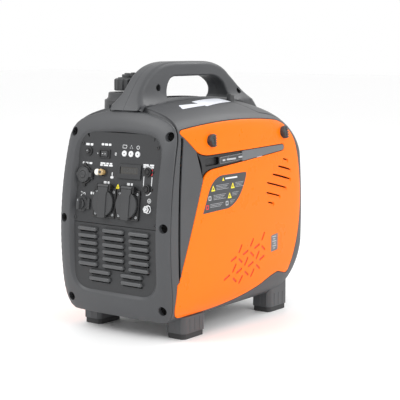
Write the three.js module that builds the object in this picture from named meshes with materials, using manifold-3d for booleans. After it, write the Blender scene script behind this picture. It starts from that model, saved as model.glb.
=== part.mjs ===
// Portable suitcase generator: a moulded housing in two halves, front and rear covers, an orange
// service door on the right, a control panel with its sockets and switches, a carrying handle in
// two halves, and a small four-stroke engine with a fan, an alternator, a tank and an inverter.
// Millimetres. +X is the operator's right, -Y the control panel end, +Z up. The origin is the
// centre of the footprint, on the surface that the feet stand on.

import * as THREE from 'three';
import { mergeVertices } from 'three/addons/utils/BufferGeometryUtils.js';
import Module from 'manifold-3d';

const wasm = await Module();
wasm.setup();

// ---------------------------------------------------------------- driving dimensions

const WALL = 3;              // thickness of the moulded shells
const GAP = 0.35;            // clearance between pieces that touch
const ARC = 4;               // straight steps along each curve of an outline
const ROUND = 16;            // sides of a round piece

const BODY = { bottom: 34, crown: 413, front: -223, rear: 223, halfWidth: 132 };
const FRONT_ARC = { z: 171, r: 650 };      // the front face is an arc, seen from the side
const PLAN_ARC_R = 4200;                   // the sides bow a little along the length
const FRONT_RIM = 12;                      // depth of the front cover behind the front face
const REAR_SEAM_Y = 203;                   // where the rear cover meets the housing halves

const OPENING = { halfWidth: 93, bottom: 79, top: 356, topR: 40, bottomR: 37 };
const PANEL = { y: -210, z: 200, lean: Math.atan(18 / 145), bottom: -3, top: 157, halfWidth: 94 };
const GRILLE = { y: -211, thick: 3, top: 196.4, bottom: 77.5, halfWidth: 94.5 };
const LOUVRE = { high: 8, proud: 6, slot: 3, top: 186.5, pitch: 12.55 };

const FOOT = { x: 97, y: 133, long: 64, wide: 42, chamfer: 6, blockTop: 70, pad: 10 };

const HANDLE = { halfWidth: 22, baseHalfWidth: 36, screwY: [-113, 135], screwZ: [433, 422] };

const FILLER = { x: -52, y: -110, flangeR: 43, ringR: 37, neckR: 23, capR: 24.5, besideHandle: 26 };
const LATCHES = { front: [-100, 343.5], rear: [132, 344] };
const LATCH_OUT = 140;                     // how far the latch knobs stand out from the centre
const GRIP_AT = { y: -128, z: 236 };       // recoil starter grip, on the left side

const GRIP = { wide: 18, high: 54, inner: -133.2 };
const EXHAUST = { x: 38, z: 150, r: 14 };  // outlet pipe, through the rear cover
const SCREW_WELL = { coverR: 8, handleR: 6.5, deep: 9, wall: 2 };
const COVER_SCREWS = [[111.7, 355], [115.7, 202], [106.9, 58]];
const REAR_SLOTS = { rows: 8, bottom: 176, pitch: 15, high: 7, halfWidth: 70, straightRows: 5, taper: 6 };
const CAP_RIBS = { count: 9, out: 22.6, r: 2.6 };

const CRANK = { x: -10, z: 162 };          // crankshaft axis, along Y
const CRANKCASE = { halfWidth: 60, halfHigh: 56, front: -38, rear: 84 };
const CYLINDER_TILT = THREE.MathUtils.degToRad(33);
const CYLINDER_Y = 25;
const CYLINDER = { boreR: 28.5, wallR: 33, finR: 44, fins: 5, finPitch: 11, finThick: 3, top: 124 };
const ROTOR = { r: 66, innerR: 60, front: -124, rear: -72, blades: 10 };
const OIL_CAP = { y: 20, below: 20 };      // below the crankshaft axis
const INVERTER_FINS = { count: 10, pitch: 16, slot: 8, first: -78 };

// How far a cutting solid runs past everything that it cuts.
const PAST = { side: 150, end: 260, top: 460 };

// ---------------------------------------------------------------- materials

const finish = (color, roughness, metalness = 0) =>
  new THREE.MeshStandardMaterial({ color, roughness, metalness });
const GREY = finish(0x4c5054, 0.55);
const ORANGE = finish(0xff8a14, 0.35);
const DARK = finish(0x26282a, 0.6);
const BLACK = finish(0x141516, 0.5);
const RUBBER = finish(0x1b1b1c, 0.9);
const CHROME = finish(0xc9ccd0, 0.2, 1);
const CAST = finish(0x8d9094, 0.5, 0.8);
const STEEL = finish(0x6f7276, 0.4, 0.9);
const CLEAR = finish(0xd8d4c8, 0.2);

// ---------------------------------------------------------------- solids from three.js shapes

/** A closed three.js geometry as a manifold solid. */
function solid(geometry) {
  const bare = geometry.index ? geometry.toNonIndexed() : geometry.clone();
  for (const name of Object.keys(bare.attributes)) {
    if (name !== 'position') bare.deleteAttribute(name);
  }
  const merged = mergeVertices(bare, 1e-3);
  return new wasm.Manifold(new wasm.Mesh({
    numProp: 3,
    vertProperties: new Float32Array(merged.attributes.position.array),
    triVerts: new Uint32Array(merged.index.array),
  }));
}

/** A named mesh from a manifold solid or a three.js geometry. */
function piece(name, shape, material) {
  const source = shape.isBufferGeometry ? solid(shape) : shape;
  const { vertProperties, triVerts } = source.getMesh();
  const geometry = new THREE.BufferGeometry();
  geometry.setAttribute('position', new THREE.BufferAttribute(new Float32Array(vertProperties), 3));
  geometry.setIndex(new THREE.BufferAttribute(new Uint32Array(triVerts), 1));
  geometry.computeVertexNormals();
  const mesh = new THREE.Mesh(geometry, material);
  mesh.name = name;
  return mesh;
}

const joined = (...solids) => solids.reduce((a, b) => a.add(b));
const cut = (from, ...solids) => solids.reduce((a, b) => a.subtract(b), from);

/** A box between two corners. */
function box(x0, x1, y0, y1, z0, z1) {
  const g = new THREE.BoxGeometry(x1 - x0, y1 - y0, z1 - z0);
  return solid(g.translate((x0 + x1) / 2, (y0 + y1) / 2, (z0 + z1) / 2));
}

const extrude = (outline, depth) =>
  new THREE.ExtrudeGeometry(outline instanceof THREE.Shape ? outline : new THREE.Shape(outline),
    { depth, bevelEnabled: false, curveSegments: ARC });

/** An outline drawn in (x, z), pulled along Y from y0 to y1. */
const alongY = (outline, y0, y1) =>
  solid(extrude(outline, y1 - y0).rotateX(Math.PI / 2).translate(0, y1, 0));

/** An outline drawn in (y, z), pulled along X from x0 to x1. */
function alongX(outline, x0, x1) {
  const turn = new THREE.Matrix4().makeBasis(
    new THREE.Vector3(0, 1, 0), new THREE.Vector3(0, 0, 1), new THREE.Vector3(1, 0, 0));
  return solid(extrude(outline, x1 - x0).applyMatrix4(turn).translate(x0, 0, 0));
}

/** An outline drawn in (x, y), pulled along Z from z0 to z1. */
const alongZ = (outline, z0, z1) => solid(extrude(outline, z1 - z0).translate(0, 0, z0));

/** A round bar along Z, from z0 to z1, tapering from r0 to r1. */
function bar(x, y, r0, z0, z1, sides = ROUND, r1 = r0) {
  const g = new THREE.CylinderGeometry(r1, r0, z1 - z0, sides);
  return solid(g.rotateX(Math.PI / 2).translate(x, y, (z0 + z1) / 2));
}

/** A round bar along Y, from y0 to y1, tapering from r0 to r1. */
function barY(x, z, r0, y0, y1, sides = ROUND, r1 = r0) {
  const g = new THREE.CylinderGeometry(r1, r0, y1 - y0, sides);
  return solid(g.translate(x, (y0 + y1) / 2, z));
}

/** A round bar along X, from x0 to x1. */
function barX(y, z, r, x0, x1, sides = ROUND) {
  const g = new THREE.CylinderGeometry(r, r, x1 - x0, sides);
  return solid(g.rotateZ(Math.PI / 2).translate((x0 + x1) / 2, y, z));
}

/** A closed outline moved inwards by a distance, or outwards by a negative one. */
function inset(points, distance) {
  const n = points.length;
  const turn = THREE.ShapeUtils.isClockWise(points) ? -1 : 1;
  const normal = (a, b) => new THREE.Vector2(a.y - b.y, b.x - a.x).setLength(turn);
  return points.map((p, i) => {
    const n1 = normal(points[(i + n - 1) % n], p);
    const n2 = normal(p, points[(i + 1) % n]);
    return n1.clone().add(n2).multiplyScalar(distance / (1 + n1.dot(n2))).add(p);
  });
}

/** The points of a path, without any that repeat. */
function pointsOf(path, steps = ARC) {
  const points = path.getPoints(steps);
  return points.filter((p, i) => p.distanceTo(points[(i + 1) % points.length]) > 0.05);
}

/** A rectangle with rounded corners, as a shape. */
function roundedRect(x0, x1, y0, y1, r) {
  const s = new THREE.Shape();
  s.moveTo(x0 + r, y0);
  s.lineTo(x1 - r, y0);
  s.absarc(x1 - r, y0 + r, r, -Math.PI / 2, 0);
  s.lineTo(x1, y1 - r);
  s.absarc(x1 - r, y1 - r, r, 0, Math.PI / 2);
  s.lineTo(x0 + r, y1);
  s.absarc(x0 + r, y1 - r, r, Math.PI / 2, Math.PI);
  s.lineTo(x0, y0 + r);
  s.absarc(x0 + r, y0 + r, r, Math.PI, Math.PI * 1.5);
  return s;
}

const roundedOutline = (...sides) => pointsOf(roundedRect(...sides), 3);

// ---------------------------------------------------------------- the body's outer form

/** The body seen from the front, in (x, z): flat base, small lower corners, rounder upper ones. */
function frontOutline() {
  const half = new THREE.Path();
  half.moveTo(98, BODY.bottom);
  half.bezierCurveTo(119, BODY.bottom, 130, 50, 131, 96);
  half.quadraticCurveTo(133.2, 235, 127, 345);
  half.bezierCurveTo(126, 374, 112, 389, 78, 399.5);
  half.quadraticCurveTo(40, 411.5, 0, BODY.crown);
  const right = pointsOf(half, ARC);
  const left = right.filter((p) => p.x > 0.1).reverse().map((p) => new THREE.Vector2(-p.x, p.y));
  return [...right, ...left];
}

/** The y of the front face at height z. */
const frontY = (z) =>
  BODY.front + FRONT_ARC.r - Math.sqrt(FRONT_ARC.r ** 2 - (z - FRONT_ARC.z) ** 2);

/** The body seen from the right, in (y, z): bowed front, low crown, large rear radii. */
function sideOutline() {
  const path = new THREE.Path();
  path.moveTo(-182, BODY.bottom);
  path.lineTo(120, 36);
  path.bezierCurveTo(188, 40, BODY.rear, 105, BODY.rear, 205);
  path.bezierCurveTo(BODY.rear, 330, 200, 396, 95, 407);
  path.quadraticCurveTo(-35, 421, -166, 404);
  path.quadraticCurveTo(frontY(404) - 2, 401, frontY(384), 384);
  for (const z of [330, 275, 223, 171, 120, 62]) path.lineTo(frontY(z), z);
  path.quadraticCurveTo(frontY(36) + 1, BODY.bottom + 2, -182, BODY.bottom);
  return pointsOf(path, ARC);
}

/** The body seen from above, in (x, y). */
function planOutline() {
  const bow = (y) => BODY.halfWidth - (y * y) / (2 * PLAN_ARC_R);
  const side = new THREE.Path();
  side.moveTo(0, BODY.front);
  side.lineTo(bow(BODY.front) - 13, BODY.front);
  side.quadraticCurveTo(bow(BODY.front), BODY.front, bow(-209), -209);
  side.quadraticCurveTo(BODY.halfWidth + 1, 0, bow(190), 190);
  side.quadraticCurveTo(bow(BODY.rear), BODY.rear, bow(BODY.rear) - 34, BODY.rear);
  side.lineTo(0, BODY.rear);
  const right = pointsOf(side, ARC).filter((p) => p.x > 0.1);
  return [...right, ...right.slice().reverse().map((p) => new THREE.Vector2(-p.x, p.y))];
}

/** The whole body, moved inwards by a distance. */
function envelope(distance) {
  const far = 300;
  return alongY(inset(frontOutline(), distance), -far, far)
    .intersect(alongX(inset(sideOutline(), distance), -far, far))
    .intersect(alongZ(inset(planOutline(), distance), -far, far + 200));
}

const outer = envelope(0);
const inner = envelope(WALL);
const skin = outer.subtract(inner);

// ---------------------------------------------------------------- outlines of the openings

/** Everything in front of the seam between the front cover and the housing, moved back by extra. */
function frontRegion(extra = 0) {
  const back = [20, 80, 140, 200, 260, 320, 380, 430];
  const points = [new THREE.Vector2(-PAST.end, 20)];
  for (const z of back) points.push(new THREE.Vector2(frontY(z) + FRONT_RIM + extra, z));
  points.push(new THREE.Vector2(-PAST.end, 430));
  return alongX(points, -PAST.side, PAST.side);
}

/** The opening in the front cover for the control panel and the grille, in (x, z). */
function coverOpening(grow = 0) {
  const { halfWidth, bottom, top, topR, bottomR } = OPENING;
  const w = halfWidth + grow;
  const path = new THREE.Path();
  path.moveTo(-w + bottomR, bottom - grow);
  path.lineTo(w - bottomR, bottom - grow);
  path.quadraticCurveTo(w, bottom - grow, w, bottom - grow + bottomR);
  path.lineTo(w, top + grow - topR);
  path.quadraticCurveTo(w, top + grow, w - topR, top + grow);
  path.lineTo(-w + topR, top + grow);
  path.quadraticCurveTo(-w, top + grow, -w, top + grow - topR);
  path.lineTo(-w, bottom - grow + bottomR);
  path.quadraticCurveTo(-w, bottom - grow, -w + bottomR, bottom - grow);
  return pointsOf(path, ARC);
}

/** The orange side panel with the notch for its stripe, in (y, z). */
function doorOutline() {
  const path = new THREE.Path();
  path.moveTo(-150, 41);
  path.quadraticCurveTo(-30, 41, 60, 66);
  path.quadraticCurveTo(88, 77, 114, 81);
  path.lineTo(140, 74);
  path.quadraticCurveTo(148, 73, 153, 79);
  path.quadraticCurveTo(194, 140, 196, 220);
  path.quadraticCurveTo(195, 318, 160, 350);
  path.quadraticCurveTo(146, 364, 118, 369);
  path.quadraticCurveTo(-20, 384, -168, 366);
  path.quadraticCurveTo(-177, 364, -174, 358);
  path.lineTo(-138, 328);
  path.quadraticCurveTo(-122, 318, -100, 318.6);
  path.lineTo(131, 323);
  path.quadraticCurveTo(137, 322, 136.6, 316);
  path.quadraticCurveTo(136, 311, 130, 310);
  path.lineTo(-88, 294);
  path.quadraticCurveTo(-115, 292, -122, 277);
  path.lineTo(-188, 107);
  path.lineTo(-193, 103);
  path.lineTo(-196, 66);
  path.quadraticCurveTo(-195, 40, -168, 41);
  return pointsOf(path, ARC);
}

/** The tapered stripe that fills the notch of a side panel, in (y, z). */
function stripeOutline() {
  const path = new THREE.Path();
  path.moveTo(-137, 327);
  path.quadraticCurveTo(-122, 318, -100, 318);
  path.lineTo(131, 322.3);
  path.quadraticCurveTo(136, 321, 136, 316);
  path.quadraticCurveTo(135, 311.5, 130, 310.7);
  path.lineTo(-88, 294.7);
  path.quadraticCurveTo(-115, 293, -122, 279);
  path.quadraticCurveTo(-118, 308, -137, 327);
  return pointsOf(path, ARC);
}

/** The spark plug cover on the top, in (x, y). */
const PLUG_COVER = [[43, 62], [94, 71], [104, 80], [107, 160], [70, 166], [46, 140]]
  .map(([x, y]) => new THREE.Vector2(x, y));
const COVER_TAB = roundedOutline(41, 53, 64, 78, 4);

const group = new THREE.Group();
const add = (name, shape, material, parent = group) => {
  const mesh = piece(name, shape, material);
  parent.add(mesh);
  return mesh;
};

// ---------------------------------------------------------------- housing halves

const rearSlab = box(-PAST.side, PAST.side, REAR_SEAM_Y, PAST.end, 0, PAST.top);
const middle = cut(skin, frontRegion(GAP), rearSlab.translate(0, -GAP, 0));

const sideReach = (side) => (side > 0 ? [60, PAST.side] : [-PAST.side, -60]);

/** The room that a side panel needs, which is also the way that the door lifts off. */
const sideOpening = (side) => alongX(inset(doorOutline(), -0.7), ...sideReach(side));

/** One half of the housing, with its side opening. The door's stripe is a piece of its own on the
 *  right; on the left it is part of this moulding. */
function housingHalf(side) {
  const across = side > 0 ? [GAP / 2, PAST.side] : [-PAST.side, -GAP / 2];
  const half = box(...across, -PAST.end, PAST.end, 0, PAST.top);
  const whole = middle.intersect(half).subtract(sideOpening(side));
  return side > 0 ? whole.subtract(alongX(inset(stripeOutline(), -1.2), ...sideReach(side))) : whole;
}

const fillerHole = bar(FILLER.x, FILLER.y, FILLER.neckR + 1.5, 380, 440);
const plugHole = alongZ(inset(PLUG_COVER, -0.5), 300, 440)
  .add(alongZ(inset(COVER_TAB, -0.6), 390, 440));
const ropeHole = barX(GRIP_AT.y, GRIP_AT.z, 7, -150, -100, 12);

add('right_housing', housingHalf(1).subtract(plugHole), GREY);
add('left_housing', housingHalf(-1).subtract(fillerHole), GREY);

// ---------------------------------------------------------------- front cover

/** Everything in front of the control panel and the grille. */
function inFrontOfPanel() {
  const atTop = (z) => PANEL.y + (z - PANEL.z) * Math.tan(PANEL.lean) - 1.2;
  const grilleFace = GRILLE.y - 0.6;
  const corners = [[-PAST.end, 40], [grilleFace, 40], [grilleFace, 197], [atTop(198), 198],
    [atTop(400), 400], [-PAST.end, 400]];
  return alongX(corners.map(([y, z]) => new THREE.Vector2(y, z)), -PAST.side, PAST.side);
}

const lining = alongY(coverOpening(4), -240, -150).intersect(outer).intersect(inFrontOfPanel());
let frontCover = skin.intersect(frontRegion()).add(lining);
frontCover = frontCover.subtract(alongY(coverOpening(), -PAST.end, -150));
for (const [x, z] of COVER_SCREWS) {
  for (const side of [-1, 1]) {
    const floor = frontY(z) + SCREW_WELL.deep;
    const cup = barY(side * x, z, SCREW_WELL.coverR + SCREW_WELL.wall, -240, floor + SCREW_WELL.wall, 12);
    frontCover = frontCover.add(cup.intersect(outer))
      .subtract(barY(side * x, z, SCREW_WELL.coverR, -240, floor, 12));
  }
}
add('front_cover', frontCover, GREY);

// ---------------------------------------------------------------- rear cover

let rearCover = skin.intersect(rearSlab);
for (let row = 0; row < REAR_SLOTS.rows; row += 1) {
  const z = REAR_SLOTS.bottom + row * REAR_SLOTS.pitch;
  const w = REAR_SLOTS.halfWidth - Math.max(0, row - REAR_SLOTS.straightRows) * REAR_SLOTS.taper;
  rearCover = rearCover.subtract(box(-w, w, 190, 240, z, z + REAR_SLOTS.high));
}
rearCover = rearCover.subtract(barY(EXHAUST.x, EXHAUST.z, EXHAUST.r + 5, 190, 240));
add('rear_cover', rearCover, DARK);

// ---------------------------------------------------------------- service door and left panel

/** A plate that follows the body's side inside an outline, side +1 right or -1 left. */
const sidePlate = (outline, side) =>
  skin.intersect(alongX(outline, ...(side > 0 ? [70, PAST.side] : [-PAST.side, -70])));

const VENT = { rise: -0.24, high: 6 };
const VENTS = [[131.6, 148.6, 296], [113.5, 158.4, 283.5], [93.3, 157.6, 270],
  [73.4, 141.7, 256], [71.1, 118.6, 237.5], [76.9, 96.2, 218.7]];

/** The six sloping air slots of a side panel: start, end and height at the start. */
function ventSlots(reach) {
  return VENTS.map(([y0, y1, z]) => {
    const drop = (y1 - y0) * VENT.rise;
    const corners = [[y0, z - VENT.high], [y1, z - VENT.high + drop], [y1, z + drop], [y0, z]];
    return alongX(corners.map(([y, zz]) => new THREE.Vector2(y, zz)), ...reach);
  });
}

const latchHoles = Object.values(LATCHES).map(([y, z]) => barX(y, z, 7.2, 90, 150, 12));
add('service_door',
  cut(sidePlate(doorOutline(), 1), ...ventSlots([90, PAST.side]), ...latchHoles), ORANGE);

/** The door's stripe, with a pocket for the fingers at its front end. */
function doorStripe() {
  const cup = alongX(roundedOutline(-116, -70, 297, 317, 5), 105, 150).intersect(outer);
  const hollow = alongX(roundedOutline(-113, -73, 299.5, 314.5, 4), 108, 150);
  const within = alongX(inset(stripeOutline(), 0.05), 60, 150);
  return sidePlate(stripeOutline(), 1).add(cup.intersect(within)).subtract(hollow);
}

add('door_stripe', doorStripe(), BLACK);
add('left_panel',
  cut(sidePlate(doorOutline(), -1), ...ventSlots([-PAST.side, -90]), ropeHole), ORANGE);

/** The knob of a door latch: a ridged head on a short stem with a cross pin. */
function latchKnob(y, z) {
  const head = pointsOf(new THREE.EllipseCurve(y, z, 8.5, 11.5), 4);
  let knob = alongX(head, 130.6, LATCH_OUT - 2).add(alongX(inset(head, 1.6), 130.6, LATCH_OUT));
  for (const step of [-4, 0, 4]) {
    knob = knob.subtract(box(LATCH_OUT - 1.6, 150, y + step - 0.8, y + step + 0.8, z - 20, z + 20));
  }
  return knob.add(barX(y, z, 6, 118, 131, 12)).add(box(118, 121, y - 10, y + 10, z - 3, z + 3));
}

add('door_latch_front', latchKnob(...LATCHES.front), DARK);
add('door_latch_rear', latchKnob(...LATCHES.rear), DARK);

// ---------------------------------------------------------------- top: plug cover and filler

const plugCoverPlate = skin.intersect(alongZ(PLUG_COVER, 340, 440));
const coverTab = alongZ(COVER_TAB, 400, 419).subtract(envelope(1));
add('spark_plug_access_cover', plugCoverPlate.add(coverTab), GREY);

const { x: fx, y: fy } = FILLER;
const aboveBody = envelope(-GAP);

/** The round collar of the filler, cut off straight beside the handle, and moved out by extra. */
const collarRound = (extra = 0) => joined(
  bar(fx, fy, FILLER.flangeR + extra, 370, 414 + extra, 20, FILLER.flangeR - 3 + extra),
  bar(fx, fy, FILLER.ringR + extra, 413, 424 + extra, 20, FILLER.ringR - 3 + extra),
).intersect(box(fx - 60, fx + FILLER.besideHandle + extra, fy - 60, fy + 60, 370, 430));
add('fuel_filler_collar',
  collarRound().subtract(aboveBody).subtract(bar(fx, fy, FILLER.neckR + 1, 380, 440)), DARK);

/** The ribbed fuel cap: a skirt with grip ribs, and a crown with a hole for the vent knob. */
function fuelCap() {
  let cap = bar(fx, fy, FILLER.capR - 1.5, 425, 448, ROUND).add(bar(fx, fy, 18, 447, 450, 16));
  for (let i = 0; i < CAP_RIBS.count; i += 1) {
    const a = (i / CAP_RIBS.count) * Math.PI * 2;
    const [x, y] = [fx + CAP_RIBS.out * Math.cos(a), fy + CAP_RIBS.out * Math.sin(a)];
    cap = cap.add(bar(x, y, CAP_RIBS.r, 427, 446.5, 6));
  }
  return cap.subtract(bar(fx, fy, 18.5, 420, 442, 16)).subtract(bar(fx, fy, 5, 440, 460, 12));
}
add('fuel_cap', fuelCap(), DARK);

const ventKnob = joined(bar(fx, fy, 4.6, 444, 452, 12), bar(fx, fy, 10, 450.4, 455, 14),
  box(fx - 3.5, fx + 17, fy - 3.5, fy + 3.5, 450.4, 457.5));
add('fuel_cap_vent_knob', ventKnob, DARK);

// ---------------------------------------------------------------- carrying handle

/** The handle's outline, in (y, z). */
function handleOutline() {
  const path = new THREE.Path();
  path.moveTo(-184, 396);
  path.quadraticCurveTo(-160, 432, -140, 452);
  path.quadraticCurveTo(-112, 478, -60, 478.6);
  path.lineTo(26, 478.6);
  path.quadraticCurveTo(78, 477, 104, 454);
  path.quadraticCurveTo(148, 426, 186, 384);
  path.lineTo(150, 360);
  path.lineTo(-150, 360);
  return pointsOf(path);
}

/** The finger opening of the handle, in (y, z). */
function fingerOpening() {
  const path = new THREE.Path();
  path.moveTo(94, 400);
  path.lineTo(95, 414);
  path.quadraticCurveTo(90, 436, 72, 444);
  path.quadraticCurveTo(60, 451.5, 40, 452);
  path.lineTo(-66, 452);
  path.quadraticCurveTo(-84, 451, -90, 438);
  path.lineTo(-100, 418);
  path.lineTo(-104, 400);
  return pointsOf(path);
}

/** One half of the handle, flared at its foot, side +1 right or -1 left. */
function handleHalf(side) {
  const flare = new THREE.Path();
  const { halfWidth: w, baseHalfWidth: b } = HANDLE;
  flare.moveTo(side * GAP / 2, 350);
  flare.lineTo(side * b, 350);
  flare.lineTo(side * b, 404);
  flare.quadraticCurveTo(side * (w + 2), 414, side * w, 436);
  flare.lineTo(side * w, 468);
  flare.quadraticCurveTo(side * w, 479, side * (w - 9), 479);
  flare.lineTo(side * GAP / 2, 479);
  let points = pointsOf(flare, 4);
  if (side < 0) points = points.reverse();
  let half = alongX(handleOutline(), -60, 60).intersect(alongY(points, -PAST.end, PAST.end));
  half = cut(half, alongX(fingerOpening(), -70, 70), aboveBody, collarRound(0.8));
  if (side > 0) {
    HANDLE.screwY.forEach((y, i) => {
      half = half.subtract(barX(y, HANDLE.screwZ[i], SCREW_WELL.handleR, 12, 60, 12));
    });
  }
  return half;
}

add('handle_right_half', handleHalf(1), GREY);
add('handle_left_half', handleHalf(-1), GREY);

// ---------------------------------------------------------------- feet

/** A foot's outline: a rectangle with chamfered corners, in (x, y). */
function footOutline(cx, cy, distance) {
  const { wide, long, chamfer } = FOOT;
  const w = wide / 2;
  const l = long / 2;
  const corners = [[-w + chamfer, -l], [w - chamfer, -l], [w, -l + chamfer], [w, l - chamfer],
    [w - chamfer, l], [-w + chamfer, l], [-w, l - chamfer], [-w, -l + chamfer]];
  return inset(corners.map(([x, y]) => new THREE.Vector2(x + cx, y + cy)), distance);
}

for (const [end, along] of [['front', -1], ['rear', 1]]) {
  for (const [side, across] of [['right', 1], ['left', -1]]) {
    const [x, y] = [across * FOOT.x, along * FOOT.y];
    const block = cut(alongZ(footOutline(x, y, 0), FOOT.pad, FOOT.blockTop), aboveBody, sideOpening(across));
    const pad = alongZ(footOutline(x, y, 3.5), 0, 2.5).add(
      alongZ(footOutline(x, y, 1.5), 2.4, FOOT.pad + 1));
    add(`foot_${end}_${side}`, block.add(pad), RUBBER);
  }
}

// ---------------------------------------------------------------- intake grille

/** The rows of louvres: the start and end of each hood, and its middle height. */
function louvreRows() {
  const rows = [];
  for (let row = 0; row < 6; row += 1) {
    const z = LOUVRE.top - row * LOUVRE.pitch;
    rows.push([-85.5, -33, z], [-28.6, 28.5, z], [31.3, 84.6, z]);
  }
  for (const row of [6, 7]) {
    const z = LOUVRE.top - row * LOUVRE.pitch;
    rows.push([-59.8, -3.5, z], [13.3, 69.3, z]);
  }
  return rows;
}

const grilleBack = GRILLE.y + GRILLE.thick;
let grille = alongY(coverOpening(1.5), GRILLE.y, grilleBack)
  .intersect(box(-GRILLE.halfWidth, GRILLE.halfWidth, -240, -180, GRILLE.bottom, GRILLE.top));
const hoods = [];
const slots = [];
for (const [x0, x1, z] of louvreRows()) {
  const r = LOUVRE.high / 2;
  const hood = [[x0, z], [x0 + r, z - r], [x1 - r, z - r], [x1, z], [x1 - r, z + r], [x0 + r, z + r]];
  const face = GRILLE.y - LOUVRE.proud;
  hoods.push(alongY(hood.map(([x, y]) => new THREE.Vector2(x, y)), face, GRILLE.y + 1));
  slots.push(box(x0 + 4, x1 - 4, face + 2, 0, z - r - LOUVRE.slot, z - r + 1));
}
add('intake_grille', cut(joined(grille, ...hoods), ...slots), DARK);

// ---------------------------------------------------------------- control panel

const panel = new THREE.Group();
panel.position.set(0, PANEL.y, PANEL.z);
panel.rotation.x = -PANEL.lean;
group.add(panel);
const onPanel = (name, shape, material) => add(name, shape, material, panel);

// In the panel's own frame x is to the right, z up the plate and -y out towards the user.
const BREAKER = { x: -70, z: 123 };
const ECO = { x: -33.2, z: 120, wide: 26, high: 16 };
const LAMPS = { x: [12, 27, 42], z: 123, r: 5.3 };
const METER = { x0: 2, x1: 53, z0: 79.6, z1: 104.8 };
const ENGINE_SWITCH = { x: -34, z: 87.7 };
const DC = { x: -76, z: 81, flangeR: 16.5, bodyR: 13, wellR: 10.5, coverR: 14 };
const PARALLEL = { x: 67.8, z: [94.4, 64.5] };
const AC = { x: [-24, 29.5], z: 34.5, flange: 51.5, bodyR: 22, wellR: 19.5, lidR: 23.3, hingeUp: 29.8 };
const FUEL_COCK = { x: -77, z: 28.7, r: 13 };
const EARTH = { x: 73.4, z: 30.8 };
const LID_HINGE = { y: -7, z: AC.z + AC.hingeUp, r: 3 };
const THROUGH = [-5, 10];                  // from in front of the plate to behind it

let plate = alongY(coverOpening(1.5), 0, WALL)
  .intersect(box(-PANEL.halfWidth, PANEL.halfWidth, ...THROUGH, 190, 400)).translate(0, 0, -PANEL.z);
plate = plate.intersect(box(-120, 120, ...THROUGH, PANEL.bottom, PANEL.top));
plate = cut(plate,
  barY(BREAKER.x, BREAKER.z, 6.5, ...THROUGH, 12),
  box(ECO.x - 11.5, ECO.x + 11.5, ...THROUGH, ECO.z - 6.5, ECO.z + 6.5),
  ...LAMPS.x.map((x) => barY(x, LAMPS.z, 3.5, ...THROUGH, 10)),
  box(METER.x0 + 2, METER.x1 - 2, ...THROUGH, METER.z0 + 2, METER.z1 - 2),
  barY(ENGINE_SWITCH.x, ENGINE_SWITCH.z, 7, ...THROUGH, 12),
  barY(DC.x, DC.z, DC.bodyR + 0.5, ...THROUGH, 16),
  ...PARALLEL.z.map((z) => barY(PARALLEL.x, z, 5.5, ...THROUGH, 10)),
  ...AC.x.map((x) => barY(x, AC.z, AC.bodyR + 0.5, ...THROUGH, 20)),
  barY(FUEL_COCK.x, FUEL_COCK.z, 7, ...THROUGH, 12),
  barY(EARTH.x, EARTH.z, 3.4, ...THROUGH, 10));
onPanel('control_panel', plate, DARK);

/** A mains socket: square flange, round well with two pin holes, and lugs for the lid. */
function acSocket(x) {
  const f = AC.flange / 2;
  let socket = alongY(roundedOutline(x - f, x + f, AC.z - f, AC.z + f + 1, 3), -3.5, -GAP)
    .add(barY(x, AC.z, AC.bodyR, -2, 30));
  for (const end of [-1, 1]) {
    const [a, b] = [x + end * 13, x + end * 16.5].sort((p, q) => p - q);
    socket = socket.add(box(a, b, -9.6, -2, LID_HINGE.z - 9, LID_HINGE.z + 3.2));
  }
  const pinHoles = [-9.5, 9.5].map((dx) => barY(x + dx, AC.z, 2.8, 0, 26, 8));
  return cut(socket, barY(x, AC.z, AC.wellR, -10, 13), ...pinHoles);
}

/** The sprung lid of a mains socket: a disc with a raised band, a neck and a knuckle. */
function acLid(x) {
  const disc = barY(x, AC.z, AC.lidR, -9, -3.9, 24);
  const rib = box(x - 8.5, x + 8.5, -10.8, -3.9, AC.z - 26.6, AC.z + 21);
  const neck = box(x - 12, x + 12, -9, -4.4, AC.z + 15, LID_HINGE.z);
  const knuckle = barX(LID_HINGE.y, LID_HINGE.z, LID_HINGE.r, x - 12, x + 12, 10);
  return joined(disc, rib, neck, knuckle);
}

['left', 'right'].forEach((side, i) => {
  onPanel(`ac_socket_${side}`, acSocket(AC.x[i]), BLACK);
  onPanel(`ac_lid_${side}`, acLid(AC.x[i]), DARK);
});

const dcSocket = cut(joined(barY(DC.x, DC.z, DC.flangeR, -3, -GAP, 20),
  barY(DC.x, DC.z, DC.bodyR, -2, 34, 16),
  box(DC.x + 14, DC.x + 20.5, -3, -GAP, DC.z - 8, DC.z + 8)), barY(DC.x, DC.z, DC.wellR, -10, 30, 16));
onPanel('dc_socket', dcSocket, BLACK);
const dcCover = joined(barY(DC.x, DC.z, DC.coverR, -6.6, -3.4, 20),
  barY(DC.x, DC.z, DC.wellR - 0.6, -4, -1.5, 16),
  barY(DC.x, DC.z, 6, -8, -6, 14), box(DC.x + 10, DC.x + 20, -5.8, -3.4, DC.z - 4, DC.z + 4),
  bar(DC.x + 19.2, -5, 1.6, DC.z - 4, DC.z + 4, 8));
onPanel('dc_socket_cover', dcCover, DARK);

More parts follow.
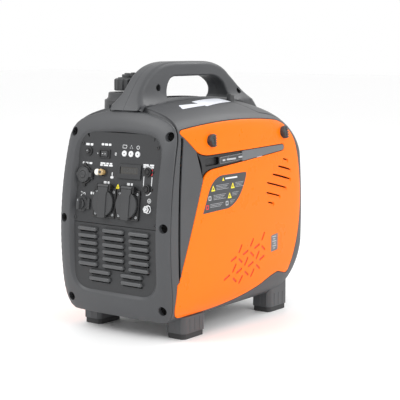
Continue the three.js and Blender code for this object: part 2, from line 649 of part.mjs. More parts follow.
const ecoFlange = roundedOutline(ECO.x - ECO.wide / 2, ECO.x + ECO.wide / 2,
  ECO.z - ECO.high / 2, ECO.z + ECO.high / 2, 1.5);
const ecoBezel = cut(alongY(ecoFlange, -2, -GAP)
  .add(box(ECO.x - 11, ECO.x + 11, -1, 14, ECO.z - 6, ECO.z + 6)),
box(ECO.x - 10, ECO.x + 10, -5, 12, ECO.z - 5.4, ECO.z + 5.4));
onPanel('eco_switch_bezel', ecoBezel, BLACK);
const rockerOutline = [[-8.8, -4], [0, -2.4], [8.8, -1], [8.8, 1], [4, 6], [-4, 6], [-8.8, 1]]
  .map(([x, y]) => new THREE.Vector2(x + ECO.x, y));
onPanel('eco_rocker', alongZ(rockerOutline, ECO.z - 5, ECO.z + 5), DARK);

const breakerBody = cut(barY(BREAKER.x, BREAKER.z, 8, -2.5, -GAP, 16).add(
  barY(BREAKER.x, BREAKER.z, 6, -1, 22, 12)), barY(BREAKER.x, BREAKER.z, 4, -5, 16, 12));
onPanel('breaker_body', breakerBody, BLACK);
const breakerButton = joined(barY(BREAKER.x, BREAKER.z, 3.6, -5, 10, 12),
  barY(BREAKER.x, BREAKER.z, 3, -5.8, -5, 12));
onPanel('breaker_button', breakerButton, DARK);

LAMPS.x.forEach((x, i) => {
  const lamp = barY(x, LAMPS.z, LAMPS.r, -1.8, -GAP, 14, LAMPS.r - 0.6)
    .add(barY(x, LAMPS.z, 3, -1, 8, 10));
  onPanel(`indicator_lamp_${['oil', 'overload', 'output'][i]}`, lamp, CLEAR);
});

const meterCase = cut(alongY(roundedOutline(METER.x0, METER.x1, METER.z0, METER.z1, 2), -3, -GAP)
  .add(box(METER.x0 + 2.5, METER.x1 - 2.5, -1, 18, METER.z0 + 2.5, METER.z1 - 2.5)),
box(METER.x0 + 4.5, METER.x1 - 6, -5, -0.6, METER.z0 + 8.5, METER.z1 - 5));
onPanel('display_meter', meterCase, BLACK);

PARALLEL.z.forEach((z, i) => {
  const socket = cut(barY(PARALLEL.x, z, 8, -3.5, -GAP, 16, 7).add(barY(PARALLEL.x, z, 5, -1, 26, 12)),
    barY(PARALLEL.x, z, 3.4, -5, 22, 12));
  onPanel(`parallel_socket_${i ? 'lower' : 'upper'}`, socket, BLACK);
});

const { x: ex, z: ez } = ENGINE_SWITCH;
const engineSwitchBody = cut(barY(ex, ez, 9, -5, -GAP, 18, 8).add(barY(ex, ez, 6.5, -1, 20, 12)),
  barY(ex, ez, 5.4, -10, 15, 12));
onPanel('engine_switch_body', engineSwitchBody, BLACK);
onPanel('engine_switch_button', barY(ex, ez, 5, -9, 8, 14).add(barY(ex, ez, 4, -9.8, -9, 14)), CLEAR);

const cockBezel = cut(barY(FUEL_COCK.x, FUEL_COCK.z, FUEL_COCK.r, -3.5, -GAP, 8)
  .add(barY(FUEL_COCK.x, FUEL_COCK.z, 6.6, -1, 24, 12)), barY(FUEL_COCK.x, FUEL_COCK.z, 3.6, -5, 30, 12));
onPanel('fuel_cock_bezel', cockBezel, DARK);
const cockKnob = joined(barY(FUEL_COCK.x, FUEL_COCK.z, 3.2, -6, 20, 12),
  barY(FUEL_COCK.x, FUEL_COCK.z, 8.5, -8, -4, 14),
  box(FUEL_COCK.x - 3, FUEL_COCK.x + 3, -14, -6, FUEL_COCK.z - 10.5, FUEL_COCK.z + 10.5));
onPanel('fuel_cock_knob', cockKnob, DARK);

const earthStud = barY(EARTH.x, EARTH.z, 3, -9, 16, 12).add(barY(EARTH.x, EARTH.z, 6, 3.4, 6, 12));
onPanel('earth_stud', earthStud, CHROME);
const earthNut = cut(joined(barY(EARTH.x, EARTH.z, 6.6, -7, -1.2, 6),
  barY(EARTH.x, EARTH.z, 7, -1.6, -GAP, 16)),
barY(EARTH.x, EARTH.z, 3.4, -10, 2, 12));
onPanel('earth_nut', earthNut, CHROME);

// ---------------------------------------------------------------- engine, alternator and starter

const { x: cx, z: cz } = CRANK;

/** A solid drawn along +Z about the cylinder's foot, leaned over to the cylinder's direction. */
function onCylinder(shape) {
  const turn = new THREE.Matrix4().makeRotationY(CYLINDER_TILT);
  turn.setPosition(cx, CYLINDER_Y, cz);
  return shape.transform(turn.toArray());
}

const caseOutline = roundedOutline(cx - CRANKCASE.halfWidth, cx + CRANKCASE.halfWidth,
  cz - CRANKCASE.halfHigh, cz + CRANKCASE.halfHigh, 22);
let crankcase = alongY(caseOutline, CRANKCASE.front, CRANKCASE.rear);
crankcase = crankcase.add(onCylinder(bar(0, 0, 40, 30, 66)));
crankcase = cut(crankcase, barY(cx, cz, 10.6, -60, 70, 16),
  onCylinder(bar(0, 0, 30, 58, 90)), onCylinder(bar(0, 0, 46, 66, 120)),
  barX(OIL_CAP.y, cz - OIL_CAP.below, 9.5, cx + 52, cx + 90, 12));
crankcase = crankcase.add(box(cx - 48, cx + 48, -20, 66, cz - 66, cz - 50));
add('crankcase', crankcase, CAST);

/** The cylinder barrel with its cooling fins. */
function cylinderBarrel() {
  const { boreR, wallR, finR, fins, finPitch, finThick, top } = CYLINDER;
  const profile = [[0, 59], [boreR, 59], [boreR, 66.5], [wallR, 66.5]];
  for (let fin = 0; fin < fins; fin += 1) {
    const z = 70 + fin * finPitch;
    profile.push([wallR, z], [finR, z], [finR, z + finThick], [wallR, z + finThick]);
  }
  profile.push([wallR, top], [0, top]);
  const points = profile.map(([r, z]) => new THREE.Vector2(r, z));
  return onCylinder(solid(new THREE.LatheGeometry(points, 14).rotateX(Math.PI / 2)));
}
add('cylinder', cylinderBarrel(), CAST);

let head = box(-38, 38, -38, 38, 124.4, 158).add(
  alongZ(roundedOutline(-34, 34, -30, 30, 10), 157, 176));
for (const z of [132, 141, 150]) {
  head = cut(head, box(-40, -30, -40, 40, z, z + 5), box(30, 40, -40, 40, z, z + 5));
}
head = head.subtract(barY(-14, 141, 6.4, 26, 40, 12));
add('cylinder_head', onCylinder(head), CAST);
const plug = joined(barY(-14, 141, 6, 30, 46, 12), barY(-14, 141, 10, 39, 46, 6),
  barY(-14, 141, 4.5, 45, 70, 10));
add('spark_plug', onCylinder(plug), CHROME);
const boot = cut(barY(-14, 141, 9, 52, 76, 12).add(bar(-14, 69, 7.5, 138, 172, 10)),
  barY(-14, 141, 4.9, 40, 71, 10));
add('spark_plug_boot', onCylinder(boot), RUBBER);

const carburettor = joined(box(60, 92, -60, -28, 252, 284), box(66, 86, -28, -15, 258, 278),
  bar(76, -44, 13, 226, 253, 14));
add('carburettor', carburettor, STEEL);
add('air_filter_box', cut(alongY(roundedOutline(64, 114, 222, 292, 8), -146, -61),
  barX(-100, 250, 9, 105, 130, 12)), BLACK);

const muffler = joined(alongY(roundedOutline(-76, 62, 88, 214, 24), 104, 176),
  barY(EXHAUST.x, EXHAUST.z, EXHAUST.r, 170, 218, 14), box(30, 52, 92, 106, 170, 196))
  .subtract(barY(EXHAUST.x, EXHAUST.z, EXHAUST.r - 2, 150, 230, 14))
  .subtract(alongY(roundedOutline(-73, 59, 91, 211, 21), 107, 173));
add('muffler', muffler, STEEL);

add('crankshaft', joined(barY(cx, cz, 10, -166, 68, 16), box(cx - 22, cx + 22, -56, -40.5, cz - 9, cz + 9)
  .intersect(barY(cx, cz, 21, -60, -30, 16))), STEEL);

/** The alternator's outer rotor with the fan blades on its front. */
function rotorFan() {
  let rotor = cut(barY(cx, cz, ROTOR.r, ROTOR.front, ROTOR.rear, 24),
    barY(cx, cz, ROTOR.innerR, ROTOR.front + 6, -60, 24));
  rotor = rotor.add(barY(cx, cz, 18, -136, -118, 16));
  for (let i = 0; i < ROTOR.blades; i += 1) {
    const blade = box(40, 80, -148, -123.5, -1.4, 1.4);
    const a = (i / ROTOR.blades) * 360;
    rotor = rotor.add(blade.rotate([0, a, 0]).translate([cx, 0, cz]));
  }
  return rotor.subtract(barY(cx, cz, 10.4, -160, -60, 16));
}
add('rotor_fan', rotorFan(), CAST);

const stator = cut(barY(cx, cz, 56, -114, -80, 24).add(barY(cx, cz, 34, -82, -57.5, 16)),
  barY(cx, cz, 23, -130, -38, 16));
add('stator', stator, finish(0xa8592c, 0.5, 0.6));

/** The moulded cowl round the fan, open at the front for the starter and the air. */
const cowl = cut(joined(barY(cx, cz, 92, -152, -48, 28),
  box(cx - 40, cx + 40, -60, -39, cz - 44, cz + 44)),
barY(cx, cz, 88, -149, -51, 28), barY(cx, cz, 62, -170, -140, 24), barY(cx, cz, 36, -90, -20, 20));
add('fan_cowl', cowl, BLACK);

const pulley = cut(joined(barY(cx, cz, 52, -170, -167.4, 24), barY(cx, cz, 45, -168, -158, 24),
  barY(cx, cz, 52, -159, -156.4, 24)), barY(cx, cz, 12, -180, -150, 16));
add('recoil_pulley', pulley, DARK);

/** The T-shaped starter grip, in its rest on the left side. */
const { y: gy, z: gz } = GRIP_AT;
const gripOutline = roundedOutline(gy - GRIP.wide / 2, gy + GRIP.wide / 2,
  gz - GRIP.high / 2, gz + GRIP.high / 2, 8);
const grip = joined(alongX(gripOutline, -LATCH_OUT, GRIP.inner),
  barX(gy, gz, 6, -134, -120, 12));
add('recoil_grip', grip, BLACK);

// ---------------------------------------------------------------- tank, inverter and oil cap

const tank = joined(alongY(roundedOutline(-98, 28, 322, 384, 16), -160, 46), bar(fx, fy, 21, 380, 423));
add('fuel_tank', cut(tank, bar(fx, fy, 18, 330, 430)), BLACK);

let inverter = box(-86, 86, -182, -44, 40, 66);
for (let i = 0; i < INVERTER_FINS.count; i += 1) {
  const x = INVERTER_FINS.first + i * INVERTER_FINS.pitch;
  inverter = inverter.subtract(box(x, x + INVERTER_FINS.slot, -190, -30, 48, 70));
}
add('inverter_module', inverter, CAST);

const oilCap = joined(barX(OIL_CAP.y, cz - OIL_CAP.below, 9, cx + 54, cx + 62, 14),
  barX(OIL_CAP.y, cz - OIL_CAP.below, 14, cx + 61, cx + 70, 8));
add('oil_filler_cap', oilCap, ORANGE);

export default group;
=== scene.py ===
"""The looks of the portable suitcase generator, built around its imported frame.

Shapes are worked out in millimetres, in the frame's own axes: +X the operator's right, -Y the
control panel end, +Z up. Meshes are written in metres.
"""

import math

import bpy
import numpy as np
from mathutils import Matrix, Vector, geometry


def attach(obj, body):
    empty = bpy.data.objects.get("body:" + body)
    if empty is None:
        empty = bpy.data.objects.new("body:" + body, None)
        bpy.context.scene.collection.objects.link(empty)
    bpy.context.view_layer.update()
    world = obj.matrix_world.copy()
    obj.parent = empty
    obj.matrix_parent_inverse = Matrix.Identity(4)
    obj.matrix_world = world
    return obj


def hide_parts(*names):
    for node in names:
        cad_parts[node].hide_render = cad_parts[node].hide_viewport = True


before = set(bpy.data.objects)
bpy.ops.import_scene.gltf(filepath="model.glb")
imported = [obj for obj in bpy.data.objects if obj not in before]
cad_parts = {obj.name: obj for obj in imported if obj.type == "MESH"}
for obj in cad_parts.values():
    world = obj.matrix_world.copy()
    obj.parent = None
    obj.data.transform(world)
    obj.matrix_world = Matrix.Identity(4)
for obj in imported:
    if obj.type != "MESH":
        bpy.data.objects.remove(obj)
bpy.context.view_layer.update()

MM = 0.001

# ------------------------------------------------------------------ driving dimensions, mm

BODY_BOTTOM, BODY_CROWN = 34.0, 413.0
BODY_FRONT, BODY_REAR = -223.0, 223.0
WAIST_Z = 205.0              # height at which the rear end stands out furthest
FRONT_ARC_R, FRONT_ARC_Z = 650.0, 171.0
FRONT_RIM = 12.0             # depth of the front cover's rim behind its face
REAR_SEAM = 203.0
SHELL = 3.0
SEAM = 0.55                  # half the visible gap between two shells
EDGE = 1.1                   # radius of a moulded edge
SHARP_ANGLE = math.radians(42)

PANEL_LEAN = math.atan(18 / 145)
PANEL_Y, PANEL_Z = -210.0, 200.0
GRILLE_Y = -211.0


# ------------------------------------------------------------------ curves and outlines

def bezier(*points, steps=12):
    """Points along a Bezier curve of any order, the last one left out."""
    t = np.linspace(0, 1, steps, endpoint=False)[:, None]
    level = [np.tile(np.array(p, float), (steps, 1)) for p in points]
    while len(level) > 1:
        level = [a * (1 - t) + b * t for a, b in zip(level, level[1:])]
    return level[0]


def trace(start, *stretches):
    """An outline from a start. Each stretch lists the rest of its points, one for a line and more
    for a Bezier curve, after its number of steps where that isn't 1 or 12."""
    pieces = []
    for stretch in stretches:
        counted = isinstance(stretch[0], int)
        points = stretch[1:] if counted else stretch
        steps = stretch[0] if counted else 1 if len(points) == 1 else 12
        pieces.append(bezier(start, *points, steps=steps))
        start = points[-1]
    return np.vstack(pieces)


def resample(loop, step):
    """The same closed outline with even steps of about that length."""
    closed = np.vstack([loop, loop[:1]])
    lengths = np.hypot(*np.diff(closed, axis=0).T)
    along = np.concatenate([[0], np.cumsum(lengths)])
    count = max(8, int(round(along[-1] / step)))
    at = np.linspace(0, along[-1], count, endpoint=False)
    return np.column_stack([np.interp(at, along, closed[:, i]) for i in (0, 1)])


def area(loop):
    x, y = loop.T
    return 0.5 * float(np.sum(x * np.roll(y, -1) - np.roll(x, -1) * y))


def counter_clockwise(loop):
    return loop if area(loop) > 0 else loop[::-1]


def even(loop, step):
    """A closed outline, counter-clockwise and in even steps."""
    return counter_clockwise(resample(loop, step))


def offset(loop, distance):
    """A closed outline moved to its left by a distance: inwards when it runs counter-clockwise."""
    before = loop - np.roll(loop, 1, axis=0)
    after = np.roll(loop, -1, axis=0) - loop
    before /= np.maximum(np.hypot(*before.T), 1e-9)[:, None]
    after /= np.maximum(np.hypot(*after.T), 1e-9)[:, None]
    normal = np.column_stack([-(before + after)[:, 1], (before + after)[:, 0]])
    length = np.maximum(np.hypot(*normal.T), 1e-9)
    normal /= length[:, None]
    miter = np.clip(length / 2, 0.55, 1)
    return loop + normal * (distance / miter)[:, None]


def rounded(loop, radius, steps=5):
    """A polygon with its corners rounded."""
    out = []
    count = len(loop)
    radii = np.broadcast_to(radius, count)
    for i in range(count):
        p = np.array(loop[i], float)
        a = np.array(loop[i - 1], float) - p
        b = np.array(loop[(i + 1) % count], float) - p
        la, lb = np.hypot(*a), np.hypot(*b)
        cut = min(radii[i], la * 0.49, lb * 0.49)
        if cut < 1e-6:
            out.append(p[None])
            continue
        out.append(np.vstack([bezier(p + a / la * cut, p, p + b / lb * cut, steps=steps),
                              (p + b / lb * cut)[None]]))
    return np.vstack(out)


def rectangle(x0, x1, y0, y1, radius=0.0, steps=5):
    corners = [(x0, y0), (x1, y0), (x1, y1), (x0, y1)]
    return rounded(corners, radius, steps) if radius else np.array(corners, float)


def circle(x, y, radius, steps=40, turn=0.0):
    a = turn + np.linspace(0, 2 * math.pi, steps, endpoint=False)
    return np.column_stack([x + radius * np.cos(a), y + radius * np.sin(a)])


def capsule(a, b, width, steps=6):
    """The outline of a stroke with round ends, from a to b."""
    a, b = np.array(a, float), np.array(b, float)
    along = (b - a) / np.hypot(*(b - a))
    turn = math.atan2(along[1], along[0])
    r = width / 2
    end = np.linspace(turn - math.pi / 2, turn + math.pi / 2, steps)
    one = b - along * r + r * np.column_stack([np.cos(end), np.sin(end)])
    other = a + along * r - r * np.column_stack([np.cos(end), np.sin(end)])
    return np.vstack([one, other])


def inside(points, loop):
    """Which points lie within a closed outline."""
    x, y = points.T
    result = np.zeros(len(points), bool)
    for (x0, y0), (x1, y1) in zip(loop, np.roll(loop, -1, axis=0)):
        if y0 == y1:
            continue
        crosses = (y0 > y) != (y1 > y)
        result ^= crosses & (x < (x1 - x0) * (y - y0) / (y1 - y0) + x0)
    return result


def fillet(radius, steps=4):
    """An edge profile from the rim inwards, as (inset, depth)."""
    a = np.linspace(0, math.pi / 2, steps + 1)
    return [(radius * (1 - math.cos(t)), radius * (1 - math.sin(t))) for t in a]


# ------------------------------------------------------------------ the body's surface

def section():
    """The right half of the body's cross-section, from the middle of the base to the crown."""
    points = np.vstack([
        trace((0, BODY_BOTTOM), [30, (98, BODY_BOTTOM)], [60, (119, BODY_BOTTOM), (130, 50), (131, 96)],
              [80, (133.2, 235), (127, 345)], [60, (126, 374), (112, 389), (78, 399.5)],
              [40, (40, 411.5), (0, BODY_CROWN)]),
        [[0, BODY_CROWN]]])
    along = np.concatenate([[0], np.cumsum(np.hypot(*np.diff(points, axis=0).T))])
    return along, points


SECTION_S, SECTION = section()
GIRTH = SECTION_S[-1]


def by_y(*pieces):
    points = np.vstack(pieces)
    return points[np.argsort(points[:, 0])]


TOP_LINE = by_y([[-260, 391.8]], trace((-166, 404), [40, (-35, 421), (95, 407)],
                                       [80, (200, 396), (223, 330), (223, 205)]))
BASE_LINE = by_y([[-260, 33.7], [-182, 34]], trace((120, 36), [80, (188, 40), (223, 105), (223, 205)]))


def swell(y):
    """How the cross-section scales at y: across, above the waist and below it."""
    drop = y * y / 8400 + 12 * (np.clip((y - 170) / 53, 0, None) ** 3)
    across = (132 - drop) / 132
    above = (np.interp(y, *TOP_LINE.T) - WAIST_Z) / (BODY_CROWN - WAIST_Z)
    below = (WAIST_Z - np.interp(y, *BASE_LINE.T)) / (WAIST_Z - BODY_BOTTOM)
    return across, above, below


def body_point(y, s):
    """The body's surface at y and s, the distance round the section; negative s is the left."""
    across, above, below = swell(y)
    round_s = np.abs(s)
    x = np.interp(round_s, SECTION_S, SECTION[:, 0]) * across * np.sign(s + 1e-12)
    z = np.interp(round_s, SECTION_S, SECTION[:, 1]) - WAIST_Z
    return np.column_stack([x, y, WAIST_Z + z * np.where(z > 0, above, below)])


def side_s(y, z):
    """The distance round the section at which the side passes height z."""
    _, above, below = swell(y)
    up = z - WAIST_Z
    base_z = WAIST_Z + up / np.where(up > 0, above, below)
    start = np.searchsorted(SECTION_S, 98)
    return np.interp(base_z, SECTION[start:, 1], SECTION_S[start:])


def top_s(x, y):
    """The distance round the section at which the top passes x."""
    across, _, _ = swell(y)
    start = np.searchsorted(SECTION[:, 1], 345)
    return np.interp(-np.abs(x) / across, -SECTION[start:, 0], SECTION_S[start:])


def side_outline(loop):
    """An outline drawn in (y, z) on the body's side, as (y, s)."""
    return np.column_stack([loop[:, 0], side_s(*loop.T)])


def front_y(z):
    return BODY_FRONT + FRONT_ARC_R - np.sqrt(FRONT_ARC_R ** 2 - (z - FRONT_ARC_Z) ** 2)


# ------------------------------------------------------------------ meshes

def mesh_object(name, vertices, faces, tags):
    """An object from vertices in millimetres, with each face's material index."""
    mesh = bpy.data.meshes.new(name)
    mesh.from_pydata([tuple(v) for v in np.asarray(vertices) * MM], [], faces)
    mesh.validate()
    mesh.shade_smooth()
    mesh.set_sharp_from_angle(angle=SHARP_ANGLE)
    mesh.polygons.foreach_set("material_index", tags[:len(mesh.polygons)])
    obj = bpy.data.objects.new(name, mesh)
    bpy.context.collection.objects.link(obj)
    modifier = obj.modifiers.new("even_shading", "WEIGHTED_NORMAL")
    modifier.keep_sharp = True
    modifier.weight = 80
    return obj


def grid_points(loop, holes, spacing):
    """Points on a staggered grid inside a loop and outside its holes, clear of their edges."""
    low, high = loop.min(0), loop.max(0)
    rows = np.arange(low[1], high[1], spacing * 0.87)
    points = []
    for i, v in enumerate(rows):
        u = np.arange(low[0] + (i % 2) * spacing / 2, high[0], spacing)
        points.append(np.column_stack([u, np.full(len(u), v)]))
    points = np.vstack(points)
    keep = inside(points, loop)
    for hole in holes:
        keep &= ~inside(points, hole)
    points = points[keep]
    edges = np.vstack([loop, *holes])
    near = np.full(len(points), np.inf)
    for start in range(0, len(edges), 200):
        gap = points[:, None] - edges[None, start:start + 200]
        near = np.minimum(near, np.hypot(gap[..., 0], gap[..., 1]).min(1))
    return points[near > spacing * 0.55]


def triangles(loop, holes, extra):
    """Triangles over the area between a loop and its holes, through extra points."""
    points = np.vstack([loop, *holes, extra]) if len(extra) else np.vstack([loop, *holes])
    edges = []
    start = 0
    for ring in [loop, *holes]:
        n = len(ring)
        edges += [(start + i, start + (i + 1) % n) for i in range(n)]
        start += n
    found = geometry.delaunay_2d_cdt([Vector(p) for p in points], edges, [], 0, 1e-7)
    corners = np.array([tuple(v) for v in found[0]])
    back = {}
    for new, old in enumerate(found[3]):
        if old:
            back[new] = old[0]
    faces = np.array([f for f in found[2] if len(f) == 3])
    centre = corners[faces].mean(1)
    keep = inside(centre, loop)
    for hole in holes:
        keep &= ~inside(centre, hole)
    return [tuple(back[i] for i in face) for face in faces[keep]
            if all(i in back for i in face)]


class Faces:
    """Faces and their material indices."""

    def __init__(self):
        self.faces = []
        self.tags = []

    def face(self, corners, tag=0):
        self.faces.append(corners)
        self.tags.append(tag)

    def wall(self, low, high, count, tag=0):
        """A strip between two rings of the same count."""
        for i in range(count):
            j = (i + 1) % count
            self.face((low + i, low + j, high + j, high + i), tag)


class Sheet(Faces):
    """A moulded wall over a flat drawing: an outline with holes, each with an edge profile, laid
    on a surface. Depth is measured inwards from the surface."""

    def __init__(self, surface, outward, sink, inward):
        super().__init__()
        self.surface = surface
        self.inward = inward
        self.outward = outward
        self.sink = sink
        self.flat = []
        self.depth = []

    def add_ring(self, loop, depth):
        start = sum(len(f) for f in self.flat)
        self.flat.append(np.asarray(loop, float))
        self.depth.append(np.broadcast_to(np.asarray(depth, float), len(loop)))
        return start

    def edge(self, loop, profile, side):
        """Rings from a rim to where the face begins. side is 1 inside the loop, -1 outside."""
        starts = [self.add_ring(offset(loop, side * inset), depth(loop) if callable(depth) else depth)
                  for inset, depth in profile]
        for a, b in zip(starts, starts[1:]):
            self.wall(*((a, b) if side > 0 else (b, a)), len(loop))
        return starts[0], starts[-1], offset(loop, side * profile[-1][0])

    def fill(self, loop, loop_start, holes, hole_starts, spacing, depth=0.0, tag=0, flip=False):
        extra = grid_points(loop, holes, spacing) if spacing else np.zeros((0, 2))
        extra_start = self.add_ring(extra, depth(extra) if callable(depth) else depth) if len(extra) else 0
        index = list(range(loop_start, loop_start + len(loop)))
        for hole, start in zip(holes, hole_starts):
            index += range(start, start + len(hole))
        index += range(extra_start, extra_start + len(extra))
        for a, b, c in triangles(loop, holes, extra):
            corners = (index[a], index[b], index[c])
            self.face(corners[::-1] if flip else corners, tag)

    def build(self, name):
        flat = np.vstack(self.flat)
        depth = np.concatenate(self.depth)
        step = 0.5
        base = self.surface(*flat.T)
        du = self.surface(flat[:, 0] + step, flat[:, 1]) - self.surface(flat[:, 0] - step, flat[:, 1])
        dv = self.surface(flat[:, 0], flat[:, 1] + step) - self.surface(flat[:, 0], flat[:, 1] - step)
        normal = np.cross(du, dv)
        normal /= np.maximum(np.linalg.norm(normal, axis=1), 1e-9)[:, None]
        if self.inward is not None:
            normal = -self.outward * np.array(self.inward, float)
        points = base - normal * (self.outward * (depth + self.sink))[:, None]
        faces = self.faces if self.outward > 0 else [f[::-1] for f in self.faces]
        return mesh_object(name, points, faces, self.tags)


def shell(name, surface, outline, holes=(), pockets=(), edge=EDGE, thick=SHELL, spacing=5.0,
          outward=1, hole_edge=None, step=2.5, sink=0.0, inward=None):
    """A moulded wall of even thickness, closed at the back. A hole is an outline, or an outline
    with its own edge profile, and goes right through. A pocket is (outline, depth): a shallow
    recess with a floor. With thick=None the back joins the rims themselves."""
    sheet = Sheet(surface, outward, sink, inward)
    rim = edge if isinstance(edge, list) else fillet(edge)
    hole_rim = rim if hole_edge is None else hole_edge
    loop = even(outline, step)
    outer_rim, face_start, face_loop = sheet.edge(loop, rim, 1)
    face_holes, face_starts, rims = [], [], [(offset(loop, rim[0][0]), outer_rim, 1)]
    for hole in holes:
        hole, profile = hole if isinstance(hole, tuple) else (hole, hole_rim)
        ring = even(hole, min(step, 1.2))
        rim_start, start, face_ring = sheet.edge(ring, profile, -1)
        face_holes.append(face_ring)
        face_starts.append(start)
        rims.append((offset(ring, -profile[0][0]), rim_start, -1))
    for pocket, deep in pockets:
        ring = even(pocket, min(step, 0.8))
        rim_start, start, face_ring = sheet.edge(ring, fillet(0.35, 2), -1)
        floor_loop = offset(ring, 0.25)
        floor = sheet.add_ring(floor_loop, deep)
        # The pocket's wall and floor take the second material, which paints them in shade.
        sheet.wall(rim_start, floor, len(ring), 1)
        sheet.fill(floor_loop, floor, [], [], 0, deep, tag=1)
        face_holes.append(face_ring)
        face_starts.append(start)
    sheet.fill(face_loop, face_start, face_holes, face_starts, spacing)
    back_starts = [start for _, start, _ in rims]
    if thick is not None:
        back_starts = []
        for ring, rim_start, side in rims:
            back = sheet.add_ring(ring, thick)
            back_starts.append(back)
            sheet.wall(*((back, rim_start) if side > 0 else (rim_start, back)), len(ring))
    sheet.fill(rims[0][0], back_starts[0], [r[0] for r in rims[1:]], back_starts[1:],
               spacing * 1.6 if spacing else 0, rim[0][1] if thick is None else thick, flip=True)
    return sheet.build(name)


class Solid(Faces):
    """Closed bodies gathered into one mesh. place(u, v, h) gives the point at (u, v) on a surface,
    h out from it, with u, v and h right-handed."""

    def __init__(self, place):
        super().__init__()
        self.place = place
        self.points = []
        self.count = 0

    def ring(self, loop, high):
        start = self.count
        self.points.append(self.place(*loop.T, np.broadcast_to(float(high), len(loop))))
        self.count += len(loop)
        return start

    def cap(self, loop, start, high, holes=(), starts=(), up=True, tag=0, spacing=0):
        extra = grid_points(loop, list(holes), spacing) if spacing else np.zeros((0, 2))
        index = list(range(start, start + len(loop)))
        for hole, begin in zip(holes, starts):
            index += range(begin, begin + len(hole))
        if len(extra):
            begin = self.ring(extra, high)
            index += range(begin, begin + len(extra))
        for face in triangles(loop, list(holes), extra):
            corners = tuple(index[i] for i in face)
            self.face(corners if up else corners[::-1], tag)

    def boss(self, outline, low, high, edge, draft=0.0, holes=(), tag=0, spacing=0, step=0):
        """A raised body with a rounded top edge. A hole is (outline, floor height, edge, floor
        tag), and a floor of None goes right through."""
        loop = counter_clockwise(resample(outline, step) if step else np.asarray(outline, float))
        rings = [(0.0, low), *[(draft + inset, high - drop) for inset, drop in fillet(edge, 3)]]
        starts = [self.ring(offset(loop, inset), h) for inset, h in rings]
        for a, b in zip(starts, starts[1:]):
            self.wall(a, b, len(loop), tag)
        face_holes, face_starts, through, through_starts = [], [], [], []
        for hole, floor, soft, floor_tag in holes:
            hole = counter_clockwise(np.asarray(hole, float))
            foot = low if floor is None else floor
            hole_rings = [self.ring(offset(hole, -inset), high - drop)
                          for inset, drop in fillet(soft, 3)[::-1]]
            bottom = self.ring(hole, foot)
            for a, b in zip(hole_rings, [*hole_rings[1:], bottom]):
                self.wall(a, b, len(hole), tag)
            face_holes.append(offset(hole, -soft))
            face_starts.append(hole_rings[0])
            if floor is None:
                through.append(hole)
                through_starts.append(bottom)
            else:
                self.cap(hole, bottom, foot, tag=floor_tag)
        top_loop = offset(loop, rings[-1][0])
        self.cap(top_loop, starts[-1], high, face_holes, face_starts, tag=tag, spacing=spacing)
        self.cap(loop, starts[0], low, through, through_starts, up=False, tag=tag, spacing=spacing)
        return self

    def turned(self, profile, u=0.0, v=0.0, steps=40, tag=0, ripple=None):
        """A turned body about (u, v). The profile is (radius, height) from the bottom up, and
        ripple(angle, height) adds to the radius."""
        a = np.linspace(0, 2 * math.pi, steps, endpoint=False)
        starts = []
        for radius, high in profile:
            r = radius + (ripple(a, high) if ripple else 0 * a)
            starts.append(self.ring(np.column_stack([u + r * np.cos(a), v + r * np.sin(a)]), high))
        for low, top in zip(starts, starts[1:]):
            self.wall(low, top, steps, tag)
        self.ends(starts, steps, tag)
        return self

    def ends(self, starts, steps, tag=0):
        """Closes a round body over its first and last rings."""
        self.face(tuple(range(starts[0] + steps - 1, starts[0] - 1, -1)), tag)
        self.face(tuple(range(starts[-1], starts[-1] + steps)), tag)

    def build(self, name, materials, body="housing", slot="panel_dark", replaces=()):
        obj = mesh_object(name, np.vstack(self.points), self.faces, self.tags)
        return dress(obj, materials, body, replaces)


def panel_place(u, v, h):
    """A point on the leaning control panel: u across, v up the plate, h out towards the user."""
    c, k = math.cos(PANEL_LEAN), math.sin(PANEL_LEAN)
    return np.column_stack([u, PANEL_Y - c * h + k * v, PANEL_Z + k * h + c * v])


def grille_place(u, v, h):
    return np.column_stack([u, GRILLE_Y - h, v])


def upright(u, v, h):
    """Plain axes: (u, v) is (x, y) and h the height."""
    return np.column_stack([u, v, h])


def side_place(side):
    """Places (y, z) on the body's side, h out from it."""
    def place(u, v, h):
        y = u if side > 0 else -u
        point, ahead = (body_point(y + d, side * side_s(y + d, v)) for d in (-0.5, 0.5))
        below, above = (body_point(y, side * side_s(y, v + d)) for d in (-0.5, 0.5))
        normal = np.cross(ahead - point, above - below) * side
        normal /= np.linalg.norm(normal, axis=1)[:, None]
        return body_point(y, side * side_s(y, v)) + normal * h[:, None]
    return place


# ------------------------------------------------------------------ materials

def node(tree, kind, **values):
    made = tree.nodes.new(kind)
    for key, value in values.items():
        if key in made.inputs:
            made.inputs[key].default_value = value
        else:
            setattr(made, key, value)
    return made


def ranged(tree, value, from_low, from_high, to_low, to_high):
    """A value mapped from one range to another."""
    ends = {"From Min": from_low, "From Max": from_high, "To Min": to_low, "To Max": to_high}
    made = node(tree, "ShaderNodeMapRange", **ends)
    tree.links.new(value, made.inputs["Value"])
    return made.outputs["Result"]


